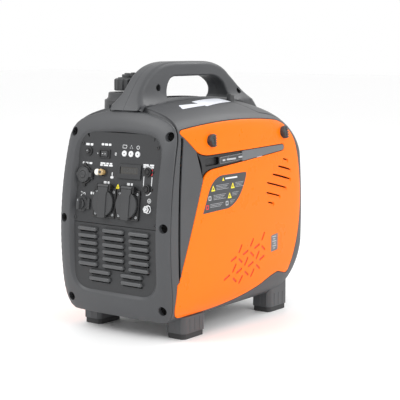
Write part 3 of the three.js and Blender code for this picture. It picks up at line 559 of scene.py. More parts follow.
def moulded(name, colour, roughness, grain=0.0006, bump=0.05, mottle=0.08, metallic=0.0,
            coat=0.0, specular=0.5, pale_edges=0.0, voronoi=False):
    """A moulded or painted surface: fine grain in the bump, slow colour and gloss variation, and paler
    colour along sharp convex edges."""
    material = bpy.data.materials.new(name)
    material.use_nodes = True
    tree = material.node_tree
    link = tree.links.new
    shader = tree.nodes["Principled BSDF"]
    for key, value in {"Metallic": metallic, "Coat Weight": coat, "Coat Roughness": 0.12,
                       "Specular IOR Level": specular}.items():
        shader.inputs[key].default_value = value
    where = node(tree, "ShaderNodeTexCoord").outputs["Object"]
    slow = node(tree, "ShaderNodeTexNoise", Scale=14.0, Detail=4.0, Roughness=0.6)
    link(where, slow.inputs["Vector"])
    if voronoi:
        fine = node(tree, "ShaderNodeTexVoronoi", Scale=1 / grain)
    else:
        fine = node(tree, "ShaderNodeTexNoise", Scale=1 / (grain * 2.2), Detail=3.0, Roughness=0.55)
    link(where, fine.inputs["Vector"])
    tint = node(tree, "ShaderNodeMix", data_type="RGBA", blend_type="MULTIPLY")
    tint.inputs["Factor"].default_value = 1.0
    tint.inputs["A"].default_value = (*colour, 1)
    link(ranged(tree, slow.outputs["Fac"], 0.3, 0.7, 1 - mottle, 1 + mottle), tint.inputs["B"])
    base = tint.outputs["Result"]
    if pale_edges:
        ridge = node(tree, "ShaderNodeNewGeometry").outputs["Pointiness"]
        edge_paling = node(tree, "ShaderNodeMix", data_type="RGBA")
        edge_paling.inputs["B"].default_value = (*[min(1, c * 1.9 + 0.03) for c in colour], 1)
        link(base, edge_paling.inputs["A"])
        link(ranged(tree, ridge, 0.53, 0.62, 0, pale_edges), edge_paling.inputs["Factor"])
        base = edge_paling.outputs["Result"]
    link(base, shader.inputs["Base Color"])
    link(ranged(tree, slow.outputs["Fac"], 0.25, 0.75, max(0.02, roughness - 0.06),
                min(1, roughness + 0.06)), shader.inputs["Roughness"])
    relief = node(tree, "ShaderNodeBump", Strength=1.0, Distance=bump * MM)
    link(fine.outputs["Distance" if voronoi else "Fac"], relief.inputs["Height"])
    link(relief.outputs["Normal"], shader.inputs["Normal"])
    return material


GREY = moulded("grey_plastic", (0.054, 0.056, 0.060), 0.46, grain=0.0007, bump=0.03, pale_edges=0.25)
ORANGE = moulded("orange_plastic", (1.0, 0.175, 0.004), 0.30, grain=0.0012, bump=0.006, mottle=0.03,
                 specular=0.15)
# A darker copy of the orange plastic: painted shade for the walls and floors of the door's recessed strokes.
ORANGE_PAINTED_SHADE = moulded("orange_recess_painted_shade", (0.66, 0.05, 0.004), 0.5, grain=0.001, bump=0.01)
DARK = moulded("dark_plastic", (0.036, 0.037, 0.039), 0.5, grain=0.0008, bump=0.06, pale_edges=0.2)
PLATE = moulded("grained_plate", (0.022, 0.023, 0.025), 0.5, grain=0.0011, bump=0.16, voronoi=True)
BLACK = moulded("black_plastic", (0.012, 0.012, 0.013), 0.38, grain=0.0006, bump=0.02)
# A near-black sheet painted as shadow: put behind gaps and openings, on pocket floors and on screws deep in
# their wells.
PAINTED_SHADOW = moulded("shadow_backing", (0.006, 0.006, 0.006), 0.9, specular=0.1)
RUBBER = moulded("rubber", (0.028, 0.028, 0.029), 0.78, grain=0.0009, bump=0.05, pale_edges=0.3)
# A paler grey than the grille plate for the louvre hoods: painted highlight for the light on their tops.
LOUVRE_PAINTED_HIGHLIGHT = moulded("louvre_painted_highlight", (0.070, 0.072, 0.075), 0.30, grain=0.0007, bump=0.02)
GREY_LIGHT = moulded("grey_insert", (0.125, 0.132, 0.140), 0.42, grain=0.0007, bump=0.02)
WHITE = moulded("white_print", (0.72, 0.73, 0.74), 0.5, grain=0.0005, bump=0.004, mottle=0.04)
PRINT = moulded("grey_print", (0.42, 0.43, 0.45), 0.5, grain=0.0005, bump=0.004, mottle=0.1)
STICKER = moulded("blank_sticker", (0.78, 0.80, 0.86), 0.4, grain=0.004, bump=0.01, mottle=0.05)
YELLOW = moulded("yellow_print", (0.88, 0.74, 0.02), 0.45, grain=0.0005, bump=0.004)
RED = moulded("red_print", (0.62, 0.02, 0.03), 0.45, grain=0.0005, bump=0.004)
LABEL = moulded("label_film", (0.042, 0.045, 0.048), 0.42, grain=0.002, bump=0.006)
GLASS = moulded("meter_window", (0.030, 0.028, 0.024), 0.12, grain=0.003, bump=0.002, coat=0.6)
CLEAR = moulded("clear_cap", (0.74, 0.72, 0.66), 0.16, grain=0.003, bump=0.01, mottle=0.12, coat=0.8)
AMBER = moulded("amber_cap", (0.46, 0.31, 0.13), 0.16, grain=0.003, bump=0.01, mottle=0.2, coat=0.8)
CHROME = moulded("chrome", (0.78, 0.79, 0.80), 0.13, grain=0.0008, bump=0.004, metallic=1.0)
STEEL = moulded("zinc_steel", (0.42, 0.43, 0.44), 0.36, grain=0.0006, bump=0.012, mottle=0.15, metallic=1.0)
CAST = moulded("cast_aluminium", (0.52, 0.53, 0.54), 0.5, grain=0.0008, bump=0.1, mottle=0.12, metallic=0.9)
HOT_STEEL = moulded("heated_steel", (0.28, 0.25, 0.22), 0.48, grain=0.0012, bump=0.05, mottle=0.3,
                    metallic=0.9)
COPPER = moulded("copper_winding", (0.66, 0.27, 0.10), 0.34, grain=0.0009, bump=0.12, mottle=0.2,
                 metallic=0.9)


def dress(obj, material, body="housing", replaces=()):
    """Gives a piece its materials, its body and the nodes it stands for."""
    for m in material if isinstance(material, (list, tuple)) else [material]:
        obj.data.materials.append(m)
    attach(obj, body)
    if replaces:
        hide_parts(*replaces)
    return obj


# ------------------------------------------------------------------ outlines on the side, (y, z)

NOTCH_TOP, NOTCH_FOOT = (-138, 328), (-122, 277)  # where the stripe breaks the door's front edge


def door_outline():
    return trace(
        (-150, 41), [(-30, 41), (60, 66)], [(88, 77), (114, 81)], [(140, 74)], [(148, 73), (153, 79)],
        [(194, 140), (196, 220)], [(195, 318), (160, 350)], [(146, 364), (118, 369)],
        [(-20, 384), (-168, 366)], [(-177, 364), (-174, 358)], [NOTCH_TOP],
        [(-122, 318), (-100, 318.6)], [(131, 323)], [(137, 322), (136.6, 316)], [(136, 311), (130, 310)],
        [(-88, 294)], [(-115, 292), NOTCH_FOOT], [(-188, 107)], [(-193, 103)], [(-196, 66)],
        [(-195, 40), (-168, 41)], [(-150, 41)])


def stripe_outline():
    return trace((-137, 327), [(-122, 318), (-100, 318)], [(131, 322.3)], [(136, 321), (136, 316)],
                 [(135, 311.5), (130, 310.7)], [(-88, 294.7)], [(-115, 293), (-122, 279)],
                 [(-118, 308), (-137, 327)])


VENT_RISE, VENT_HIGH = -0.24, 6.0
VENTS = [(131.6, 148.6, 296), (113.5, 158.4, 283.5), (93.3, 157.6, 270),
         (73.4, 141.7, 256), (71.1, 118.6, 237.5), (76.9, 96.2, 218.7)]


def sloped(y0, y1, low, high, wider=0.0):
    """A vent's outline, from heights low and high at its front end down to its rear end."""
    drop = (y1 - y0) * VENT_RISE
    return np.array([(y0 - wider, low), (y1 + wider, low + drop), (y1 + wider, high + drop),
                     (y0 - wider, high)])


def vent_outlines():
    return [rounded(sloped(y0, y1, z - VENT_HIGH, z), 1.6, 3) for y0, y1, z in VENTS]


def side_surface(side):
    return lambda y, s: body_point(y, side * s)


LATCHES = {"front": (-100.0, 343.5), "rear": (132.0, 344.0)}


# ------------------------------------------------------------------ housing halves

def seam_in_section(extra):
    """The front end of a housing half, as y at each distance round the section."""
    s = np.linspace(GIRTH, 0, 160, endpoint=False)
    z = np.interp(s, SECTION_S, SECTION[:, 1])
    return np.column_stack([front_y(z) + FRONT_RIM + extra, s])


def half_outline():
    """A housing half laid flat: (y, s), from the front seam to the rear one."""
    rear = REAR_SEAM - SEAM
    front = seam_in_section(SEAM)
    base, crown = 0.3, GIRTH - 0.3
    front[:, 1] = np.clip(front[:, 1], base, crown)
    return np.vstack([trace((front[-1][0], base), [2, (rear, base)], [2, (rear, crown)],
                            [2, (front[0][0], crown)]), front])


def groove_outline():
    """The black upright gap behind the front cover's rim, in (y, z)."""
    return trace((-184, 110), [30, (-191, 240), (-170, 352)], [3, (-175.5, 354)],
                 [30, (-196.5, 240), (-189, 108)], [3, (-184, 110)])


PLUG_COVER = [(43, 62), (94, 71), (104, 80), (107, 160), (70, 166), (46, 140)]
FILLER_X, FILLER_Y = -52.0, -110.0
BESIDE_HANDLE = 26.0        # how far the collar reaches towards the handle


def top_outline(loop):
    """An outline drawn in (x, y) on the top, as (y, s)."""
    return np.column_stack([loop[:, 1], top_s(loop[:, 0], loop[:, 1])])


def plug_cover_outline(grow=0.0):
    loop = even(rounded(PLUG_COVER, [6, 8, 8, 12, 10, 10]), 2)
    return offset(loop, -grow)


def opening_outline():
    """The right side's opening: the door with its notch straight across."""
    loop = door_outline()
    first, last = (np.argmin(np.hypot(*(loop - corner).T)) for corner in (NOTCH_TOP, NOTCH_FOOT))
    return np.delete(loop, np.arange(first + 1, last), axis=0)


right_holes = [side_outline(offset(even(opening_outline(), 2), -SEAM)),
               top_outline(plug_cover_outline(2 * SEAM)), side_outline(resample(groove_outline(), 1.5))]
left_holes = [side_outline(offset(even(door_outline(), 2), -SEAM)),
              top_outline(circle(FILLER_X, FILLER_Y, 25))]
for name, side, holes in (("right", 1, right_holes), ("left", -1, left_holes)):
    half = shell(f"{name}_housing_skin", side_surface(side), half_outline(), holes, outward=side)
    dress(half, GREY, replaces=[f"{name}_housing"])

# A dark backing behind the front gap, painted as the shadow inside it.
gap_back = Solid(side_place(1))
gap_back.boss(offset(even(groove_outline(), 3), -2.5), -9.0, -5.5, 0.3)
gap_back.build("front_gap_backing", [PAINTED_SHADOW], slot="trim_black")

# ------------------------------------------------------------------ side panels

door_loop = offset(even(door_outline(), 2), SEAM * 0.2)
door_vents = [side_outline(loop) for loop in vent_outlines()]

DASH_ACROSS = np.array([37.0, 6.7])
DASH_WIDTH = 4.2
# Each stroke of the lattice on the door: its ends at the rear column, and how many columns it has.
DASHES = [((64.6, 163.1), (54.1, 148.3), 3), ((47.8, 142.6), (30.0, 136.7), 3),
          ((54.1, 138.1), (65.9, 129.2), 3), ((46.8, 130.1), (35.3, 115.6), 3),
          ((64.9, 119.0), (46.8, 112.1), 4), ((36.4, 105.3), (49.0, 96.1), 3),
          ((30.5, 99.0), (18.7, 84.7), 2)]


def dash_pockets():
    pockets = []
    for a, b, columns in DASHES:
        for column in range(columns):
            shift = -DASH_ACROSS * column
            pockets.append((side_outline(capsule(np.add(a, shift), np.add(b, shift), DASH_WIDTH)), 1.1))
    return pockets


for name, side, body in (("service_door", 1, "door"), ("left_panel", -1, "housing")):
    skin = shell(f"{name}_skin", side_surface(side), side_outline(door_loop), door_vents, dash_pockets(),
                 spacing=4.0, step=2.0, outward=side, hole_edge=fillet(0.8, 3))
    # The recessed strokes take the darker orange copy as painted shade.
    dress(skin, [ORANGE, ORANGE_PAINTED_SHADE], body, [name])

# ------------------------------------------------------------------ front cover

OPENING = {"half": 93.0, "bottom": 79.0, "top": 356.0, "top_r": 40.0, "bottom_r": 37.0}
COVER_SCREWS = [(108.3, 355.0), (113.5, 202.0), (104.9, 58.0)]
FACE_BULGE = 5.0             # how far the face curves back towards its sides
ROLL, ROLL_REACH = 4.0, 18.0  # the softer turn towards the rim, and how far in it begins
LIP_SIDE, LIP_TOP = 0.8, 7.2  # how far the housing stands above the front cover


def mirrored(points):
    """The closed (x, z) outline of a right half's points and their mirror image."""
    right = points[:, (0, 2)]
    return even(np.vstack([right, right[-2:0:-1] * (-1, 1)]), 3.0)


def seam_rim():
    """The body's outline in (x, z) where the front cover meets the housing."""
    s = np.linspace(0, GIRTH, 150)
    z0 = np.interp(s, SECTION_S, SECTION[:, 1])
    return mirrored(body_point(front_y(z0) + FRONT_RIM, s))


def cover_outline():
    """The front cover's rim in (x, z), lower than the body along the top."""
    loop = seam_rim()
    blend = np.clip((loop[:, 1] - 335) / 50, 0, 1)
    middle = np.clip(1 - (loop[:, 0] / 118) ** 2, 0, 1)
    return offset(loop, LIP_SIDE + LIP_TOP * blend * blend * (3 - 2 * blend) * middle)


COVER_RIM = resample(cover_outline(), 4.0)


def front_surface(x, z):
    away = np.full(len(x), np.inf)
    for u, v in COVER_RIM:
        away = np.minimum(away, np.hypot(x - u, z - v))
    roll = ROLL * np.clip(1 - away / ROLL_REACH, 0, 1) ** 2
    return np.column_stack([x, front_y(z) + FACE_BULGE * (x / 112) ** 2 + roll, z])


def front_place(u, v, h):
    return front_surface(u, v) - np.column_stack([0 * h, h, 0 * h])


def seam_place(u, v, h):
    """Placed on the seam between the front cover and the housing, h towards the user."""
    return np.column_stack([u, front_y(v) + FRONT_RIM - h, v])


def to_seam(extra):
    """How deep behind the cover's face the seam lies, and extra more."""
    return lambda loop: FRONT_RIM + extra - (front_surface(*loop.T)[:, 1] - front_y(loop[:, 1]))


def cover_opening(grow=0.0):
    w, b, t = OPENING["half"] + grow, OPENING["bottom"] - grow, OPENING["top"] + grow
    br, tr = OPENING["bottom_r"], OPENING["top_r"]
    return trace((-w + br, b), [(w - br, b)], [(w, b), (w, b + br)], [(w, t - tr)], [(w, t), (w - tr, t)],
                 [(0, t + 4), (-w + tr, t)], [(-w, t), (-w, t - tr)], [(-w, b + br)],
                 [(-w, b), (-w + br, b)])


def recess(loop):
    """How far the panel or the grille lies behind the cover's face."""
    x, z = loop.T
    plate = np.where(z > 197, PANEL_Y + (z - PANEL_Z) * math.tan(PANEL_LEAN), GRILLE_Y)
    return plate - front_surface(x, z)[:, 1] + 1.6


def share(part):
    return lambda loop: part * recess(loop)


tongue = [(4.4, to_seam(7.0)), (4.4, to_seam(0.7)), (0.7, to_seam(0.5)), (0.0, to_seam(-0.2))]
bevel = [(0.0, share(1.0)), (0.3, share(0.86)), (5.0, share(0.2)), (6.0, share(0.08)), (7.2, 0.0)]
screw_well = [(0.0, 9.5), (0.0, 1.0), (0.3, 0.3), (0.9, 0.0)]
cover_holes = [(cover_opening(), bevel)]
cover_holes += [(circle(side * x, z, 7.8), screw_well) for x, z in COVER_SCREWS for side in (1, -1)]
front_cover = shell("front_cover_skin", front_surface, cover_outline(), cover_holes,
                    edge=tongue + fillet(1.8, 4), thick=None, spacing=6, step=3.0,
                    inward=(0, 1, 0))
dress(front_cover, GREY, replaces=["front_cover"])
step_band = Solid(seam_place)
step_band.boss(offset(seam_rim(), 1.6), -9.0, -5.0, 0.4,
               holes=[(offset(cover_outline(), 3.0), None, 0.3, 0)])
step_band.build("front_step_band", [GREY])


def screw(solid, u, v, h, r=4.2, tag=0):
    """A screw head with a cross recess, its top at h."""
    arm, half = r * 0.62, r * 0.17
    quarter = np.array([(arm, -half), (arm, half), (half, half)])
    cross = np.vstack([quarter, quarter[:, ::-1] * (-1, 1), -quarter, quarter[:, ::-1] * (1, -1)])
    return solid.boss(circle(u, v, r, 24), h - 2.6, h, 0.7, tag=tag,
                      holes=[(cross + (u, v), h - 1.5, 0.1, tag)])


# The screw heads and the discs at the bottom of their wells are painted in the shadow colour.
screws = Solid(front_place)
for x, z in COVER_SCREWS:
    for side in (1, -1):
        screw(screws, side * x, z, -6.4, 5.4)
        screws.boss(circle(side * x, z, 8.1, 32), -10.6, -8.6, 0.3)
screws.build("cover_screws", [PAINTED_SHADOW], slot="steel")

# ------------------------------------------------------------------ rear cover

REAR_SLOTS = {"rows": 8, "bottom": 176, "pitch": 15, "high": 7, "half": 70}
EXHAUST = {"x": 38.0, "z": 150.0, "r": 14.0}
rear_outline = mirrored(body_point(np.full(120, REAR_SEAM), np.linspace(0, GIRTH, 120)))
rear_turns = np.arctan2(rear_outline[:, 1] - WAIST_Z, rear_outline[:, 0])
rear_order = np.argsort(rear_turns)
rear_reach = np.hypot(rear_outline[:, 0], rear_outline[:, 1] - WAIST_Z)


def rear_surface(x, z):
    reach = np.interp(np.arctan2(z - WAIST_Z, x), rear_turns[rear_order], rear_reach[rear_order],
                      period=2 * math.pi)
    q = np.clip(np.hypot(x, z - WAIST_Z) / reach, 0, 1)
    return np.column_stack([x, REAR_SEAM + (BODY_REAR - REAR_SEAM) * (1 - q * q) ** 0.72, z])


def rear_place(u, v, h):
    return rear_surface(-u, v) + np.column_stack([0 * h, h, 0 * h])


def rear_slots():
    """Each slot's half width, bottom and top; the upper ones are shorter."""
    lows = [REAR_SLOTS["bottom"] + row * REAR_SLOTS["pitch"] for row in range(REAR_SLOTS["rows"])]
    return [(REAR_SLOTS["half"] - 6 * max(0, row - 5), z, z + REAR_SLOTS["high"])
            for row, z in enumerate(lows)]


rear_holes = [rectangle(-w, w, low, high, 3.2) for w, low, high in rear_slots()]
rear_holes.append(circle(EXHAUST["x"], EXHAUST["z"], EXHAUST["r"] + 5, 48))
rear_cover = shell("rear_cover_skin", rear_surface, offset(rear_outline, 0.2), rear_holes, spacing=6,
                   outward=-1, inward=(0, -1, 0), edge=[(0, 6), *fillet(1.4, 4)])
dress(rear_cover, DARK, replaces=["rear_cover"])

blades = Solid(rear_place)
for w, low, high in rear_slots():
    blades.boss(rectangle(-w - 2, w + 2, low - 2.5, low + 3.4, 1.0), -9.0, -4.2, 0.8)
exhaust_rim = Solid(rear_place)
exhaust_rim.boss(circle(-EXHAUST["x"], EXHAUST["z"], EXHAUST["r"] + 9.5, 48), -3.0, 1.6, 0.8,
                 holes=[(circle(-EXHAUST["x"], EXHAUST["z"], EXHAUST["r"] + 4.2, 48), None, 0.6, 0)])
blades.build("rear_cover_blades", [BLACK])
exhaust_rim.build("exhaust_trim_ring", [HOT_STEEL], slot="steel")

# ------------------------------------------------------------------ the door's stripe, label and latches

on_door = side_place(1)
BLACK_END = -6.0             # where the black recess ends and the grey insert begins


def clipped(loop, keep):
    """The part of a finely stepped outline that a test keeps."""
    loop = resample(loop, 0.8)
    return loop[keep(loop[:, 0])]


stripe_loop = offset(even(stripe_outline(), 1), 0.3)
recess_loop = clipped(stripe_loop, lambda y: y < BLACK_END)
insert_loop = clipped(stripe_loop, lambda y: y > BLACK_END + 0.5)
scoop = rounded([(-113, 299.5), (-74, 300.6), (-74, 314.2), (-113, 313.2)], 4)
# The scoop's walls and floor are painted in the shadow colour.
stripe_black = shell("door_stripe_recess", side_surface(1), side_outline(recess_loop),
                     pockets=[(side_outline(scoop), 6.5)], edge=0.8, thick=5.0, step=1.6, sink=2.8)
dress(stripe_black, [BLACK, PAINTED_SHADOW], "door", ["door_stripe"])
stripe_insert = shell("door_stripe_insert", side_surface(1), side_outline(insert_loop), edge=0.8,
                      thick=4.0, step=1.6, sink=0.25)
dress(stripe_insert, GREY_LIGHT, "door")

badge = Solid(on_door)
BADGE = np.array([(-73, 300.6), (-4.5, 303.6), (-4.5, 315.6), (-73, 312.8)], float)
badge.boss(rounded(BADGE, 1.2), -3.4, -0.4, 0.5, spacing=6, step=1.5)
inner_badge = offset(even(rounded(BADGE, 1.2), 1.5), 1.5)
badge.boss(inner_badge, -0.6, -0.1, 0.15, tag=1, spacing=6)
for y0, y1 in [(-66, -58), (-54, -26), (-18, -6)]:
    z0 = 308.2 + 0.044 * y0 + 1.6
    badge.boss(rectangle(y0, y1, z0 - 1.5, z0 + 1.5, 0.6), -0.2, 0.12, 0.1, tag=2)
badge.build("door_badge_plate", [GREY_LIGHT, DARK, PRINT], "door", "trim_black")

LABEL_EDGE = trace((2, 281), [(-68, 281)], [(-97, 279), (-110, 250)], [(-119, 230), (-125, 218)],
                   [(-52, 220.5)], [(-16, 228), (2, 270)], [(7, 281), (2, 281)])


def triangle(u, v, wide, high):
    return rounded([(u - wide / 2, v - high / 2), (u + wide / 2, v - high / 2), (u, v + high / 2)],
                   wide * 0.08, 2)


label = Solid(on_door)
label.boss(even(LABEL_EDGE, 2.4), -0.3, 0.22, 0.12, spacing=7)
# Each entry of the label: the icon's place and kind, and where its lines of print run.
ENTRIES = [(-95.7, 260.2, "yellow", -87, -50, 4), (-38.3, 260.3, "yellow", -30, -4, 4),
           (-105.5, 243.4, "grey", -95, -59, 4), (-47.9, 243.5, "yellow", -40, -20, 3),
           (-113.0, 228.4, "red", -105, -67, 3), (-56.0, 230.0, "grey", -47, -32, 3)]
ICON_TAG = {"yellow": 2, "grey": 1, "red": 3}
for u, v, kind, start, end, lines_of_print in ENTRIES:
    if kind == "yellow":
        label.boss(triangle(u, v, 11.5, 10.5), 0.1, 0.42, 0.08, tag=2)
        label.boss(triangle(u, v - 0.6, 4.6, 4.4), 0.3, 0.5, 0.05, tag=0)
    else:
        label.boss(rectangle(u - 4, u + 4, v - 4, v + 4, 1.6), 0.1, 0.42, 0.08, tag=ICON_TAG[kind],
                   holes=[(rectangle(u - 2.2, u + 2.2, v - 2.2, v + 2.2, 0.8), 0.2, 0.05, 0)])
    for i in range(lines_of_print):
        shorter = (i * 37 % 11) * 0.9
        top = v + 4.4 - i * 2.5
        label.boss(rectangle(start, end - shorter, top - 0.6, top, 0.2, 2), 0.1, 0.36, 0.05, tag=1)
label.boss(triangle(-66, 274, 6, 6.4), 0.1, 0.42, 0.08, tag=2)
label.boss(rectangle(-60, -24, 272.8, 275.6, 0.8), 0.1, 0.42, 0.08, tag=4)
label.build("door_label", [LABEL, PRINT, YELLOW, RED, WHITE], "door", "panel_dark")

sticker = Solid(on_door)
sticker.boss(rounded([(87, 121.5), (110, 124), (110, 155.5), (87, 153)], 0.8), -0.3, 0.25, 0.1,
             spacing=8, step=3)
for i, (y0, y1) in enumerate([(91, 104), (93, 101), (91, 105), (95, 103), (92, 105), (94, 101)]):
    z0 = 150 - i * 4.4
    sticker.boss(rectangle(y0, y1, z0 - 1.1, z0 + 1.1, 0.5), 0.1, 0.4, 0.05, tag=1)
sticker.build("door_data_sticker", [GREY_LIGHT, PRINT], "door", "panel_dark")

for end, (y, z) in LATCHES.items():
    knob = Solid(on_door)
    body = rounded([(y - 9, z + 1.5), (y + 1.5, z - 11.5), (y + 7.5, z - 11), (y + 8, z + 9),
                    (y + 4, z + 11.5), (y - 4.5, z + 9)], [3, 4, 3, 3, 5, 5])
    knob.turned([(8.4, -1.2), (8.4, 0.8), (7.8, 1.3)], y, z, 40, tag=1)
    knob.boss(body, -0.4, 8.6, 2.2)
    for i in range(5):
        zz = z - 8.6 + i * 4.1
        knob.boss(capsule((y + 0.5, zz), (y + 7.2, zz + 0.4), 2.4), 6.5, 10.2, 1.15)
    knob.boss(circle(y - 3.4, z + 0.8, 3.4, 28), 6.0, 9.6, 1.3)
    knob.build(f"latch_knob_{end}", [DARK, BLACK], f"{end}_latch", "trim_black", [f"door_latch_{end}"])

for side, name, body in ((1, "door", "door"), (-1, "left_panel", "housing")):
    shape = Solid(side_place(side))
    for y0, y1, z in VENTS:
        blade = sloped(y0, y1, z - VENT_HIGH - 1.2, z - 1.9, 1)
        # Behind each vent lies a backing painted as the shadow inside it.
        backing = sloped(y0, y1, z - VENT_HIGH - 3, z + 3, 3)
        shape.boss(blade * (side, 1), -4.6, -0.9, 0.8, draft=0.6)
        shape.boss(backing * (side, 1), -6.4, -4.4, 0.3, tag=1)
    shape.build(f"{name}_vent_blades", [ORANGE, PAINTED_SHADOW], body, "door_orange")

# ------------------------------------------------------------------ top: handle, covers, filler

HANDLE = {"half": 22.0, "base": 36.0, "round": 9.0}
HANDLE_SCREWS = [(-113, 433), (130, 421)]


def along_top(start, end, steps, under):
    """Points just under the top, from y start to y end."""
    y = np.linspace(start, end, steps, endpoint=False)
    return np.column_stack([y, np.interp(y, *TOP_LINE.T) - under])


def handle_outline():
    return np.vstack([
        trace((-184, 396), [20, (-160, 432), (-140, 452)], [20, (-112, 478), (-60, 478.6)],
              [20, (26, 478.6)], [20, (78, 477), (104, 454)], [20, (148, 426), (186, 384)]),
        along_top(186, -184, 60, 8)])


def finger_opening():
    return np.vstack([
        along_top(-94, 94, 40, 7),
        trace((94, 401), [3, (95, 414)], [(90, 436), (72, 444)], [(60, 451.5), (40, 452)],
              [12, (-62, 452)], [(-78, 451), (-84, 438)], [4, (-91, 418)], [3, (-94, 404)])])


def handle_width(z):
    rise = np.clip((z - 404) / 32, 0, 1)
    return HANDLE["base"] + (HANDLE["half"] - HANDLE["base"]) * (1 - (1 - rise) ** 2.2)


def handle_side(side):
    return lambda y, z: np.column_stack([side * handle_width(z), y, z])


def from_middle(radius, steps):
    """An edge that starts at the seam between the handle's halves and ends in a fillet."""
    return [(0, lambda loop: handle_width(loop[:, 1]) - 0.25), *fillet(radius, steps)]


handle_holes = [(finger_opening(), from_middle(5.0, 6))]
handle_holes += [(circle(y, z, 6.0), [(0, 9.0), (0, 1), (0.3, 0.3), (0.8, 0)]) for y, z in HANDLE_SCREWS]
for side, name in ((1, "right"), (-1, "left")):
    half = shell(f"handle_{name}_skin", handle_side(side), handle_outline(), handle_holes,
                 edge=from_middle(HANDLE["round"], 7), thick=None, spacing=6, step=2.4, outward=side,
                 inward=(-side, 0, 0))
    dress(half, GREY, replaces=[f"handle_{name}_half"])


def handle_place(u, v, h):
    return np.column_stack([handle_width(v) + h, u, v])


# The screw heads and the discs at the bottom of their wells are painted in the shadow colour.
handle_screws = Solid(handle_place)
for y, z in HANDLE_SCREWS:
    screw(handle_screws, y, z, -6.6, 4.6)
    handle_screws.boss(circle(y, z, 6.3, 28), -10.0, -8.4, 0.3)
handle_screws.build("handle_screws", [PAINTED_SHADOW], slot="steel")

plug_cover = shell("spark_plug_cover_skin", side_surface(1), top_outline(plug_cover_outline(-0.3)),
                   edge=0.8, thick=SHELL, spacing=4, step=1.6)
dress(plug_cover, GREY, "plug_cover", ["spark_plug_access_cover"])


def top_place(u, v, h):
    """A point on the top at (x, y), h above it."""
    return body_point(v, np.sign(u + 1e-9) * top_s(u, v)) + np.column_stack([0 * h, 0 * h, h])


# The tab is drawn in the dark plastic as painted shade; its own plastic is the housing grey.
tab = Solid(top_place)
tab.boss(rectangle(41, 53, 64, 78, 4), -2.5, 13.4, 3.0, draft=0.6, step=1.0)
tab.build("spark_plug_cover_tab", [DARK], "plug_cover", "housing_grey")

top_stickers = Solid(top_place)
for corners, high in (([(58, -102), (75, -112), (74, -47), (63, -46)], 0.22),
                      ([(50, -54), (78, -45), (56, 60), (30, 58), (38, 9)], 0.26)):
    top_stickers.boss(rounded(corners, 1), -0.2, high, 0.1, spacing=7, step=3)
top_stickers.build("top_stickers", [STICKER], slot="housing_grey")


def beside_handle(radius):
    """A circle about the filler, cut off straight beside the handle."""
    loop = circle(FILLER_X, FILLER_Y, radius, 96)
    return np.column_stack([np.minimum(loop[:, 0], FILLER_X + BESIDE_HANDLE), loop[:, 1]])


collar = Solid(upright)
neck_hole = circle(FILLER_X, FILLER_Y, 24.4, 72)
for radius, low, high, edge in ((43, 372, 411.5, 2.4), (38.5, 410, 414, 1.2), (36, 413, 424, 2.0)):
    collar.boss(resample(beside_handle(radius), 2.2), low, high, edge, draft=1.2,
                holes=[(neck_hole, None, 0.8, 0)])
collar.build("fuel_filler_collar_skin", [DARK], slot="panel_dark", replaces=["fuel_filler_collar"])

LOBES = 14


def grip_lobes(a, high):
    """The ribs round the fuel cap's grip, none on its rims."""
    return 1.15 * np.clip(np.cos(LOBES * a) * 1.6, -1, 1) if 427.5 < high < 446.8 else 0 * a


cap = Solid(upright)
cap.turned([(22.6, 426.6), (23.4, 427.0), (23.4, 428.2), (23.4, 437), (23.4, 446.2), (22.4, 447.8),
            (20.6, 448.6), (18.4, 448.8), (17.8, 449.0), (17.4, 450.2), (14.0, 450.5)],
           FILLER_X, FILLER_Y, 140, ripple=grip_lobes)
cap.build("fuel_cap_skin", [DARK], "filler_cap", "panel_dark", ["fuel_cap"])
vent = Solid(upright)
vent.turned([(9.0, 450.2), (10.2, 450.8), (10.4, 454.6), (9.6, 455.6), (6.0, 455.9)],
            FILLER_X, FILLER_Y)
vent.boss(capsule((FILLER_X - 6.5, FILLER_Y), (FILLER_X + 17.5, FILLER_Y), 8.6), 452.0, 458.0, 1.8)
vent.boss(circle(FILLER_X + 13.5, FILLER_Y, 4.6, 24), 452, 459.2, 1.6)
vent.build("fuel_cap_vent_lever", [DARK], "vent_knob", "panel_dark", ["fuel_cap_vent_knob"])

# ------------------------------------------------------------------ feet

FOOT = {"x": 97.0, "y": 133.0, "long": 64.0, "wide": 42.0, "chamfer": 6.0}
FOOT_TOP = {"front": 40.4, "rear": 58.0}
for end, along in (("front", -1), ("rear", 1)):
    for name, across in (("right", 1), ("left", -1)):
        x, y = across * FOOT["x"], along * FOOT["y"]
        w, l, c = FOOT["wide"] / 2, FOOT["long"] / 2, FOOT["chamfer"]
        corners = [(w - c, -l), (w, c - l), (w, l - c), (w - c, l)]
        corners = [(c - w, -l), *corners, *[(-a, b) for a, b in corners[:0:-1]]]
        octagon = rounded([(x + a, y + b) for a, b in corners], 2.2, 3)
        foot = Solid(upright)
        foot.boss(offset(octagon, 2.0), 0.0, 11.0, 0.6, tag=1, step=2)
        foot.boss(octagon, 10.0, FOOT_TOP[end], 2.0, step=2)
        for u in (-14, 0, 14):
            foot.boss(rectangle(x + u - 0.9, x + u + 0.9, y - l - 0.5, y - l + 2, 0.4), 12, 36, 0.4)
            x0, x1 = sorted((x + (w - 1.6) * across, x + (w + 0.5) * across))
            foot.boss(rectangle(x0, x1, y + u - 0.9, y + u + 0.9, 0.4), 12, 36, 0.4)
        foot.build(f"foot_{end}_{name}_skin", [GREY, RUBBER], slot="foot_rubber",
                   replaces=[f"foot_{end}_{name}"])

# ------------------------------------------------------------------ control panel

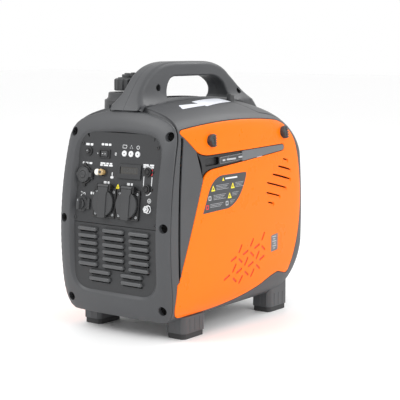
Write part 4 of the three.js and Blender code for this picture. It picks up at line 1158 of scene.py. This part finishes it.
BREAKER = (-70.0, 123.0)
ECO = (-33.2, 120.0)
LAMP_X, LAMP_Z = (12.0, 27.0, 42.0), 123.0
METER = (2.0, 53.0, 79.6, 104.8)
ENGINE_SWITCH = (-34.0, 87.7)
DC = (-76.0, 81.0)
PARALLEL_X, PARALLEL_Z = 67.8, (94.4, 64.5)
AC_X, AC_Z = (-24.0, 29.5), 34.5
FUEL_COCK = (-77.0, 28.7)
EARTH = (73.4, 30.8)
ON_PLATE, UNDER_PLATE = 0.02, -0.3  # where pieces on the plate and behind it meet it
PLATE_SCREWS = [(-85.5, 136.6), (-92, 4), (85.5, 136.6), (91, 4)]


def plate_outline(low, high, half):
    """The part of the cover's opening between two heights, in world (x, z)."""
    loop = even(cover_opening(1.2), 1.5)
    loop = np.column_stack([np.clip(loop[:, 0], -half, half), np.clip(loop[:, 1], low, high)])
    return loop[np.hypot(*(loop - np.roll(loop, 1, axis=0)).T) > 0.05]


world_plate = plate_outline(197.0, 357.0, 93.8)
plate_loop = np.column_stack([world_plate[:, 0], (world_plate[:, 1] - PANEL_Z) / math.cos(PANEL_LEAN)])
cut_outs = [circle(*BREAKER, 6.5, 24), rectangle(ECO[0] - 11.5, ECO[0] + 11.5, ECO[1] - 6.5, ECO[1] + 6.5),
            rectangle(METER[0] + 2, METER[1] - 2, METER[2] + 2, METER[3] - 2), circle(*ENGINE_SWITCH, 7, 24),
            circle(*DC, 13.5, 32), circle(*FUEL_COCK, 7, 24), circle(*EARTH, 3.4, 20)]
cut_outs += [circle(x, LAMP_Z, 3.5, 20) for x in LAMP_X]
cut_outs += [circle(PARALLEL_X, z, 5.5, 24) for z in PARALLEL_Z]
cut_outs += [circle(x, AC_Z, 22.5, 48) for x in AC_X]
plate = Solid(panel_place)
plate.boss(plate_loop, -3.0, 0.0, 0.5, holes=[(hole, None, 0.25, 0) for hole in cut_outs], spacing=12)
plate.build("control_panel_skin", [PLATE], replaces=["control_panel"])
plate_screws = Solid(panel_place)
for u, v in PLATE_SCREWS:
    screw(plate_screws, u, v, 1.6, 2.9)
plate_screws.build("panel_screws", [DARK], slot="steel")


INK = (-0.12, 0.14, 0.05)     # a printed mark's bottom, top and edge radius


def bars(solid, u0, u1, v, words, high, tag=0):
    """A line of generic print: blocks of uneven length where words would be."""
    gap = (u1 - u0) / (sum(words) + len(words) - 1)
    u = u0
    for word in words:
        wide = gap * word
        solid.boss(rectangle(u, u + wide, v - high / 2, v + high / 2, high * 0.2, 2), *INK, tag=tag)
        u += wide + gap


def ring_mark(solid, v, start, turn, u=PARALLEL_X, outer=10.4, inner=8.8, tag=0):
    """Part of a printed ring about (u, v)."""
    a = np.radians(np.linspace(start, start + turn, 22))
    arc = np.vstack([np.column_stack([u + r * np.cos(b), v + r * np.sin(b)])
                     for r, b in ((outer, a), (inner, a[::-1]))])
    solid.boss(arc, *INK, tag=tag)


def frame_mark(solid, loop, line_wide, tag=0):
    loop = counter_clockwise(loop)
    solid.boss(loop, *INK, tag=tag, holes=[(offset(loop, line_wide), None, 0.04, 0)])


prints = Solid(panel_place)
for entry in [(-78.7, -61.7, 134.9, (4, 3), 4.0), (-41.8, -19.6, 136.4, (3, 4, 3), 3.8),
              (-41.6, -14.4, 103.4, (6, 3, 3), 2.8), (-42.0, -13.2, 100.0, (3, 5, 4), 2.8),
              (-83.4, -61.0, 101.8, (2, 3, 3), 3.4), (-30.8, -17.6, 70.2, (3, 2), 4.4),
              (22.8, 35.6, 70.6, (3, 2), 4.4), (56.1, 79.6, 106.1, (5, 4), 2.8),
              (56.4, 79.4, 102.7, (4, 5), 2.8), (-59.8, -51.6, 49.2, (2, 1), 4.4)]:
    bars(prints, *entry)
# strokes of the icons: by the fuel cock, the choke, the earth stud and the eco switch, and the
# lines that join the two parallel sockets
for start, end, wide in [((-82.5, 42.5), (-79.5, 46.0), 1.2), ((-82.5, 50.0), (-79.0, 49.0), 1.2),
                         ((-12.8, 82.5), (-12.8, 89), 1.8), ((-16.6, 79.8), (-9.2, 80.2), 4.2),
                         ((74.4, 43.5), (74.4, 47.6), 0.9), ((72.6, 44.8), (76.2, 44.8), 0.9),
                         ((-50.6, 120.2), (-48.6, 120.2), 2.2), ((-10.2, 121.0), (-5.4, 121.0), 6.0),
                         ((59.2, 70.5), (59.2, 86.5), 1.5), ((77.0, 70.5), (77.0, 86.5), 1.5)]:
    prints.boss(capsule(start, end, wide), *INK)
prints.boss(capsule((-10.4, 121.0), (-5.2, 121.0), 1.6), 0.05, 0.22, 0.05, tag=3)
# outlines of the icons above the lamps
for corners, radius, wide in [
        ([(7, 132), (15.5, 132), (17, 135), (15.5, 138), (7, 138)], 0.6, 0.8),
        ([(23, 132.2), (30.4, 132.2), (26.7, 138.6)], 0.6, 0.9),
        ([(38.4, 133), (41.6, 131.2), (44.8, 133), (44.8, 136.6), (41.6, 138.4), (38.4, 136.6)], 0.5, 0.8)]:
    frame_mark(prints, rounded(corners, radius), wide)
prints.boss(circle(74.4, 45.4, 3.9, 36), *INK, holes=[(circle(74.4, 45.4, 3.0, 36), None, 0.04, 0)])
ring_mark(prints, 46.6, -40, 230, -74.6, 2.6, 1.6)
ring_mark(prints, PARALLEL_Z[0], 36, 120)
ring_mark(prints, PARALLEL_Z[0], -42, 72, tag=1)
ring_mark(prints, PARALLEL_Z[1], -100, 74)
ring_mark(prints, PARALLEL_Z[1], 142, 44)
prints.boss(triangle(2.4, 65.4, 9.4, 8.6), -0.12, 0.16, 0.05, tag=2)
prints.boss(triangle(2.4, 64.8, 2.6, 3.2), 0.06, 0.24, 0.04, tag=3)
prints.build("panel_print", [WHITE, RED, YELLOW, BLACK])

breaker = Solid(panel_place)
breaker.boss(circle(*BREAKER, 8, 36), -1.0, 2.5, 0.7, holes=[(circle(*BREAKER, 4, 28), -6.0, 0.3, 0)])
breaker.boss(circle(*BREAKER, 5.9, 28), -20, -2.5, 0.5, holes=[(circle(*BREAKER, 4, 28), -16, 0.3, 0)])
breaker.build("breaker_bezel", [BLACK], replaces=["breaker_body"])
push = Solid(panel_place)
push.boss(circle(*BREAKER, 3.6, 28), -2.4, 5.8, 1.0)
u, v = BREAKER
push.boss(capsule((u - 1.2, v + 1.0), (u + 0.6, v + 1.0), 1.1), 5.4, 5.95, 0.05, tag=1)
push.build("breaker_push", [DARK, WHITE], "breaker_button", "panel_dark", ["breaker_button"])

x, z = ECO
eco = Solid(panel_place)
eco_hole = rectangle(x - 10, x + 10, z - 5.4, z + 5.4, 0.8)
eco.boss(rectangle(x - 13, x + 13, z - 8, z + 8, 1.5), ON_PLATE, 2.2, 0.6, holes=[(eco_hole, None, 0.3, 0)])
eco.boss(rectangle(x - 11, x + 11, z - 6, z + 6, 0.6), -14, UNDER_PLATE, 0.2, holes=[(eco_hole, -12, 0.1, 0)])
frame_mark(eco, rectangle(x - 11.6, x + 11.6, z - 6.7, z + 6.7, 1.0), 0.5, tag=1)
eco.build("eco_switch_frame", [BLACK, PRINT], replaces=["eco_switch_bezel"])


def rocker_place(u, v, h):
    """Across the eco rocker: u from its pivot, v up the plate, h the height of its profile."""
    tilt = np.interp(u, [x - 8.8, x, x + 8.8], [1.0, 2.4, 4.0])
    return panel_place(u, v, np.where(h > 0, tilt + h - 4, h))


rocker = Solid(rocker_place)
rocker.boss(rectangle(x - 8.8, x + 8.8, z - 4.9, z + 4.9, 0.8), -1.0, 4.0, 0.6, spacing=2.2, step=1.5)
rocker.boss(capsule((x + 3.2, z - 1.6), (x + 3.2, z + 1.6), 1.1), 3.6, 4.12, 0.05, tag=1)
rocker.boss(capsule((x - 5.5, z), (x - 2.2, z), 1.1), 3.6, 4.12, 0.05, tag=1)
rocker.build("eco_rocker_skin", [DARK, WHITE], "eco_rocker", "panel_dark", ["eco_rocker"])

for x, name in zip(LAMP_X, ("oil", "overload", "output")):
    lamp = Solid(panel_place)
    lamp.turned([(5.3, ON_PLATE), (5.3, 0.8), (4.9, 1.4), (4.3, 1.7), (3.4, 1.4), (3.2, 1.2)], x, LAMP_Z, 36)
    lamp.turned([(3.3, -8), (3.3, -0.5)], x, LAMP_Z, 24)
    lamp.boss(capsule((x, LAMP_Z - 1.3), (x, LAMP_Z + 1.3), 1.9), 1.0, 1.6, 0.3, tag=1)
    lamp.build(f"lamp_{name}", [WHITE, BLACK], slot="clear_cap", replaces=[f"indicator_lamp_{name}"])

x0, x1, z0, z1 = METER
window = rectangle(x0 + 4.4, x1 - 6.4, z0 + 8.2, z1 - 4.8, 0.8)
meter = Solid(panel_place)
meter.boss(rectangle(x0, x1, z0, z1, 2), ON_PLATE, 3.0, 0.8, holes=[(window, 1.4, 0.5, 1)])
meter.boss(rectangle(x0 + 2.6, x1 - 2.6, z0 + 2.6, z1 - 2.6, 1), -18, UNDER_PLATE, 0.2)
bars(meter, x0 + 3, x0 + 24, z1 - 2.2, (3, 2, 2), 1.5, tag=2)
frame_mark(meter, rectangle(x0 + 1.6, x1 - 1.6, z0 + 1.4, z1 - 1.2, 1.4), 0.35, tag=3)
for i in range(5):
    u = x0 + 12 + i * 6.0
    meter.boss(rectangle(u, u + 3.6, z0 + 12.0, z0 + 17.6, 0.5), 1.2, 1.5, 0.05, tag=4,
               holes=[(rectangle(u + 0.9, u + 2.7, z0 + 12.9, z0 + 16.7, 0.3), 1.3, 0.04, 1)])
meter.build("meter_frame", [PLATE, GLASS, PRINT, DARK, LABEL], replaces=["display_meter"])

u, v = ENGINE_SWITCH
housing_loop = capsule((u - 8.6, v), (u + 10.6, v + 0.8), 16.4, 14)
switch = Solid(panel_place)
switch.boss(housing_loop, ON_PLATE, 0.6, 0.3, holes=[(circle(u, v, 6.1, 32), None, 0.2, 0)])
switch.boss(circle(u, v, 6.8, 32), -20, UNDER_PLATE, 0.3, holes=[(circle(u, v, 6.1, 32), -14, 0.2, 0)])
switch.build("engine_switch_frame", [BLACK], replaces=["engine_switch_body"])
button = Solid(panel_place)
dome = [(5.0, -6.0), (5.0, 4.8), (5.6, 5.0), (5.9, 6.0), (5.6, 7.6), (4.6, 8.9), (3.0, 9.7), (1.2, 9.95)]
button.turned(dome, u, v, 40, tag=1)
button.turned([(r, h) for r, h in dome if h > 4.6], u - 8.4, v - 0.3, 40, tag=0)
button.boss(capsule((u - 8.0, v - 0.2), (u, v), 8.4), 4.9, 7.4, 1.0, tag=0)
button.turned([(3.0, 9.5), (2.9, 10.0), (2.4, 10.1)], u + 0.4, v, 28, tag=2)
button.build("engine_button_cap", [CLEAR, AMBER, LABEL], "engine_button", "clear_cap",
             ["engine_switch_button"])

u, v = DC
dc = Solid(panel_place)
dc.boss(circle(u, v, 16.5, 56), ON_PLATE, 3.0, 0.9, holes=[(circle(u, v, 10.5, 48), None, 0.5, 0)])
dc.boss(circle(u, v, 13, 48), -34, UNDER_PLATE, 0.3, holes=[(circle(u, v, 10.5, 48), -30, 0.2, 0)])
dc.boss(rectangle(u + 14, u + 20.5, v - 8, v + 8, 2), ON_PLATE, 3.0, 0.7)
for end in (-1, 1):
    dc.boss(rectangle(u - 3.6, u + 3.6, v + end * 17 - 4, v + end * 17 + 4, 1.2), ON_PLATE, 3.0, 0.7)
dc.build("dc_socket_ring", [BLACK], replaces=["dc_socket"])
cover = Solid(panel_place)
cover.turned([(9.9, 1.6), (9.9, 3.6)], u, v, 48)
cover.turned([(13.2, 3.45), (14.0, 3.9), (14.0, 5.6), (13.2, 6.5), (12.2, 6.6), (11.6, 6.0), (10.6, 6.0),
              (9.8, 6.6), (7.4, 6.8), (6.8, 6.2)], u, v, 56)
cover.turned([(6.3, 6.0), (6.0, 7.4), (5.2, 8.0), (3.4, 8.0), (2.8, 7.4), (1.6, 7.2)], u, v, 40)
cover.boss(rectangle(u + 10, u + 19.6, v - 4, v + 4, 1.2), 3.45, 5.8, 0.6)
cover.boss(rectangle(u - 16.5, u - 11, v - 3.4, v + 3.4, 1.6), 3.45, 5.6, 0.6)
cover.build("dc_cover_cap", [DARK], "dc_cover", "panel_dark", ["dc_socket_cover"])


def pin(solid, ends, v, h, radius):
    """A round bar along the panel's width from ends[0] to ends[1], at (v, h)."""
    sides = 20
    a = np.linspace(0, 2 * math.pi, sides, endpoint=False)
    starts = [solid.count, solid.count + sides]
    for end in ends:
        solid.points.append(solid.place(np.full(sides, float(end)), v + radius * np.cos(a),
                                        h + radius * np.sin(a)))
    solid.count += 2 * sides
    solid.wall(*starts, sides)
    solid.ends(starts, sides)


HINGE_UP, HINGE_OUT = 29.8, 7.0
for x, name in zip(AC_X, ("left", "right")):
    socket = Solid(panel_place)
    flange = rectangle(x - 25.7, x + 25.7, AC_Z - 25.7, AC_Z + 26.7, 3)
    corner_screws = [(x + a, AC_Z + b) for a in (19.6, -19.6) for b in (19.8, -19.6)]
    wells = [(circle(a, b, 3.6, 20), 1.4, 0.4, 0) for a, b in corner_screws]
    socket.boss(flange, ON_PLATE, 3.5, 1.0, holes=[(circle(x, AC_Z, 19.5, 56), None, 0.6, 0), *wells])
    for a, b in corner_screws:
        screw(socket, a, b, 3.0, 2.9, tag=1)
    socket.boss(circle(x, AC_Z, 22, 56), -30, UNDER_PLATE, 0.3,
                holes=[(circle(x, AC_Z, 19.5, 56), -13.0, 0.3, 0)])
    for d in (-1, 1):
        socket.turned([(4.2, -13.2), (4.2, -12.7), (3.7, -12.4), (2.8, -12.4), (2.6, -12.9)],
                      x + 9.5 * d, AC_Z, 28)
        clip = AC_Z + d * 17.2
        socket.boss(rectangle(x - 2, x + 2, clip - 1.6, clip + 1.6, 0.5), -13.0, -3.0, 0.5, tag=1)
        a, b = sorted((x + d * 13, x + d * 16.5))
        socket.boss(rectangle(a, b, AC_Z + HINGE_UP - 9, AC_Z + HINGE_UP + 3.2, 1), 2.6, 9.6, 1.0)
    socket.build(f"mains_socket_{name}", [BLACK, STEEL], slot="trim_black", replaces=[f"ac_socket_{name}"])
    lid = Solid(panel_place)
    lid.turned([(23.0, 3.92), (23.3, 4.4), (23.3, 7.6), (22.9, 8.6), (22.2, 9.0), (21.2, 9.0), (20.8, 8.7),
                (20.2, 8.7)], x, AC_Z, 96)
    band = rounded([(x - 8.4, AC_Z - 26), (x + 8.4, AC_Z - 26), (x + 8.6, AC_Z + 17), (x + 11.2, AC_Z + 20.5),
                    (x + 11.4, AC_Z + 27.5), (x - 11.4, AC_Z + 27.5), (x - 11.2, AC_Z + 20.5),
                    (x - 8.6, AC_Z + 17)], [2.2, 2.2, 3, 3, 2, 2, 3, 3])
    lid.boss(band, 5.0, 10.6, 0.9)
    lid.boss(rectangle(x - 8.2, x + 8.2, AC_Z - 26.0, AC_Z - 18, 1.6), 3.95, 8.6, 0.8)
    pin(lid, (x - 12, x + 12), AC_Z + HINGE_UP, HINGE_OUT, 3.0)
    lid.build(f"mains_lid_{name}", [DARK], f"{name}_lid", "panel_dark", [f"ac_lid_{name}"])

for z, name in zip(PARALLEL_Z, ("upper", "lower")):
    parallel = Solid(panel_place)
    parallel.turned([(5.0, -24), (5.0, -0.3)], PARALLEL_X, z, 36)
    # The floor of the ring's hole is painted in the shadow colour.
    parallel.boss(circle(PARALLEL_X, z, 8, 44), ON_PLATE, 3.8, 0.9,
                  holes=[(circle(PARALLEL_X, z, 5.4, 32), 0.8, 0.5, 1)])
    parallel.turned([(5.1, 0.6), (5.1, 4.2), (4.6, 4.9), (3.5, 4.9), (3.2, 4.2)], PARALLEL_X, z, 36)
    parallel.boss(rectangle(PARALLEL_X + 8.6, PARALLEL_X + 12.4, z - 1.8, z + 1.8, 0.8), -0.1, 1.6, 0.5)
    parallel.build(f"parallel_ring_{name}", [BLACK, PAINTED_SHADOW], slot="trim_black",
                   replaces=[f"parallel_socket_{name}"])

u, v = FUEL_COCK
bezel = Solid(panel_place)
bezel.boss(rounded(circle(u, v, 14, 8, math.pi / 8), 1.6, 3), ON_PLATE, 3.6, 0.9,
           holes=[(circle(u, v, 3.7, 28), None, 0.3, 0)])
bezel.boss(rectangle(u + 12.4, u + 18.4, v - 9, v + 10, 1.6, 3), ON_PLATE, 3.4, 0.8)
bezel.turned([(6.6, -24), (6.6, -0.3)], u, v, 30)
bezel.turned([(10.8, 3.3), (10.6, 4.0), (9.8, 4.2)], u, v, 40)
bezel.build("fuel_cock_plate", [DARK], replaces=["fuel_cock_bezel"])
lever = Solid(panel_place)
lever.turned([(3.4, -20), (3.4, 4.2), (8.4, 4.5), (8.6, 5.4), (8.6, 7.4), (7.8, 8.2), (6.6, 8.4)], u, v, 40)
blade = [(u - 3.2, v - 10.4), (u + 3.2, v - 10.4), (u + 3.6, v + 10.4), (u - 3.6, v + 10.4)]
lever.boss(rounded(blade, 2.4), 6.0, 14.0, 1.6, draft=0.4)
lever.boss(capsule((u, v + 5.0), (u, v + 8.0), 1.3), 13.7, 14.15, 0.05, tag=1)
lever.build("fuel_cock_lever", [DARK, PRINT], "fuel_cock", "panel_dark", ["fuel_cock_knob"])

u, v = EARTH
stud = Solid(panel_place)
stud.turned([(2.6, -16), (2.95, -15), (2.95, 7.9), (2.3, 8.8), (1.2, 9.0)], u, v, 28)
stud.turned([(6, -6), (6, -3.2)], u, v, 28)
stud.build("earth_stud_skin", [CHROME], slot="chrome", replaces=["earth_stud"])
nut = Solid(panel_place)
nut.boss(circle(u, v, 7.4, 36), 0.4, 1.6, 0.4, holes=[(circle(u, v, 3.4, 28), None, 0.2, 0)])
nut.boss(rounded(circle(u, v, 6.9, 6), 1.0, 3), 1.5, 7.0, 0.8, holes=[(circle(u, v, 3.3, 28), None, 0.4, 0)])
nut.build("earth_nut_skin", [CHROME], "earth_nut", "chrome", ["earth_nut"])

# ------------------------------------------------------------------ intake grille

LOUVRE = {"high": 8.0, "proud": 6.0, "top": 186.5, "pitch": 12.55}
FULL_ROW = ((-85.5, -33.0), (-28.6, 28.5), (31.3, 84.6))
SHORT_ROW = ((-59.8, -3.5), (13.3, 69.3))

grille = Solid(grille_place)
grille_loop = plate_outline(77.6, 196.3, 94.4)
mouths, hoods = [], []
for row in range(8):
    z = LOUVRE["top"] - row * LOUVRE["pitch"]
    for x0, x1 in FULL_ROW if row < 6 else SHORT_ROW:
        mouths.append(capsule((x0 + 5, z - 4.4), (x1 - 5, z - 4.4), 3.4, 4))
        hoods.append((x0, x1, z))
grille.boss(grille_loop, -3.0, 0.0, 0.5, spacing=14,
            holes=[(mouth, None, 0.25, 0) for mouth in mouths])
radius = LOUVRE["high"] / 2
# The hoods are drawn in the paler louvre grey, a painted highlight.
for x0, x1, z in hoods:
    spine = capsule((x0 + radius, z), (x1 - radius, z), LOUVRE["high"], 8)
    grille.boss(spine, -0.5, LOUVRE["proud"], radius * 0.9, tag=1)
grille.build("intake_grille_skin", [PLATE, LOUVRE_PAINTED_HIGHLIGHT], slot="panel_dark", replaces=["intake_grille"])
backing = Solid(grille_place)
backing.boss(rectangle(-88, 88, 84, 192, 4), -9, -7, 0.3)
backing.build("grille_shadow", [PAINTED_SHADOW], slot="trim_black")

# ------------------------------------------------------------------ starter grip and its seat

GRIP = (-128.0, 236.0)


def left_flat(u, v, h):
    """Placed on the left side: u is -y, v is z, h is -x from the centre plane."""
    return np.column_stack([-h, -u, v])


grip = Solid(left_flat)
u, v = -GRIP[0], GRIP[1]
grip.boss(rectangle(u - 9, u + 9, v - 27, v + 27, 8), 133.3, 140.0, 2.6, step=1.5)
for i in range(-2, 3):
    grip.boss(capsule((u - 5.6, v + i * 8.6), (u + 5.6, v + i * 8.6), 2.2), 137.5, 140.0 - 0.02, 0.8)
grip.turned([(6, 120), (6, 134)], u, v, 28)
grip.build("starter_grip_skin", [BLACK], "starter_grip", "trim_black", ["recoil_grip"])
seat = Solid(side_place(-1))
seat.boss(rectangle(u - 13, u + 13, v - 31, v + 31, 9), -2.0, 0.7, 0.6, step=2, spacing=8,
          holes=[(circle(u, v, 7, 28), None, 0.4, 0)])
seat.build("starter_grip_seat", [BLACK], slot="trim_black")

# ------------------------------------------------------------------ surfaces of the inner parts

INNER = {
    "crankcase": CAST, "cylinder": CAST, "cylinder_head": CAST, "inverter_module": CAST,
    "rotor_fan": CAST, "carburettor": STEEL, "crankshaft": STEEL, "spark_plug": CHROME,
    "muffler": HOT_STEEL, "stator": COPPER, "oil_filler_cap": ORANGE, "fan_cowl": BLACK,
    "air_filter_box": BLACK, "fuel_tank": BLACK, "recoil_pulley": DARK, "spark_plug_boot": RUBBER,
}
for name, material in INNER.items():
    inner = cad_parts[name]
    inner.data.materials.clear()
    inner.data.materials.append(material)

# ------------------------------------------------------------------ stage, light and camera

def material_plain(name, colour, roughness):
    material = bpy.data.materials.new(name)
    material.use_nodes = True
    shader = material.node_tree.nodes["Principled BSDF"]
    shader.inputs["Base Color"].default_value = (*colour, 1)
    shader.inputs["Roughness"].default_value = roughness
    return material


def make_stage():
    bpy.ops.mesh.primitive_plane_add(size=30, location=(0, 0, 0))
    floor = bpy.context.object
    floor.name = "floor"
    floor.data.materials.append(material_plain("pale_floor", (0.98, 0.98, 0.98), 0.6))
    world = bpy.data.worlds.new("studio")
    world.use_nodes = True
    world.node_tree.nodes["Background"].inputs["Color"].default_value = (1, 1, 1, 1)
    world.node_tree.nodes["Background"].inputs["Strength"].default_value = 1.0
    bpy.context.scene.world = world
    bpy.context.scene.view_settings.view_transform = "Standard"


def area_light(name, place, target, size, power):
    light = bpy.data.lights.new(name, "AREA")
    light.shape = "DISK"
    light.size = size
    light.energy = power
    obj = bpy.data.objects.new(name, light)
    obj.location = place
    obj.rotation_euler = (Vector(target) - Vector(place)).to_track_quat("-Z", "Y").to_euler()
    bpy.context.collection.objects.link(obj)


CAMERA_AT = (1.338, -1.739, 0.512)
CAMERA_AIM = (-0.0005, 0.0388, 0.2150)
FOCAL = 106.02               # of the lens, mm


def make_camera():
    camera = bpy.data.cameras.new("camera")
    camera.lens = FOCAL
    camera.sensor_width = 36
    obj = bpy.data.objects.new("camera", camera)
    obj.location = CAMERA_AT
    obj.rotation_euler = (Vector(CAMERA_AIM) - Vector(CAMERA_AT)).to_track_quat("-Z", "Y").to_euler()
    bpy.context.collection.objects.link(obj)
    bpy.context.scene.camera = obj


make_stage()
area_light("key", (-1.2, -2.2, 2.4), (0, 0, 0.2), 1.6, 38)
area_light("side", (2.6, -0.4, 1.6), (0, 0, 0.2), 1.6, 27)
area_light("back", (0.6, 2.2, 2.4), (0, 0, 0.3), 1.4, 22)
make_camera()
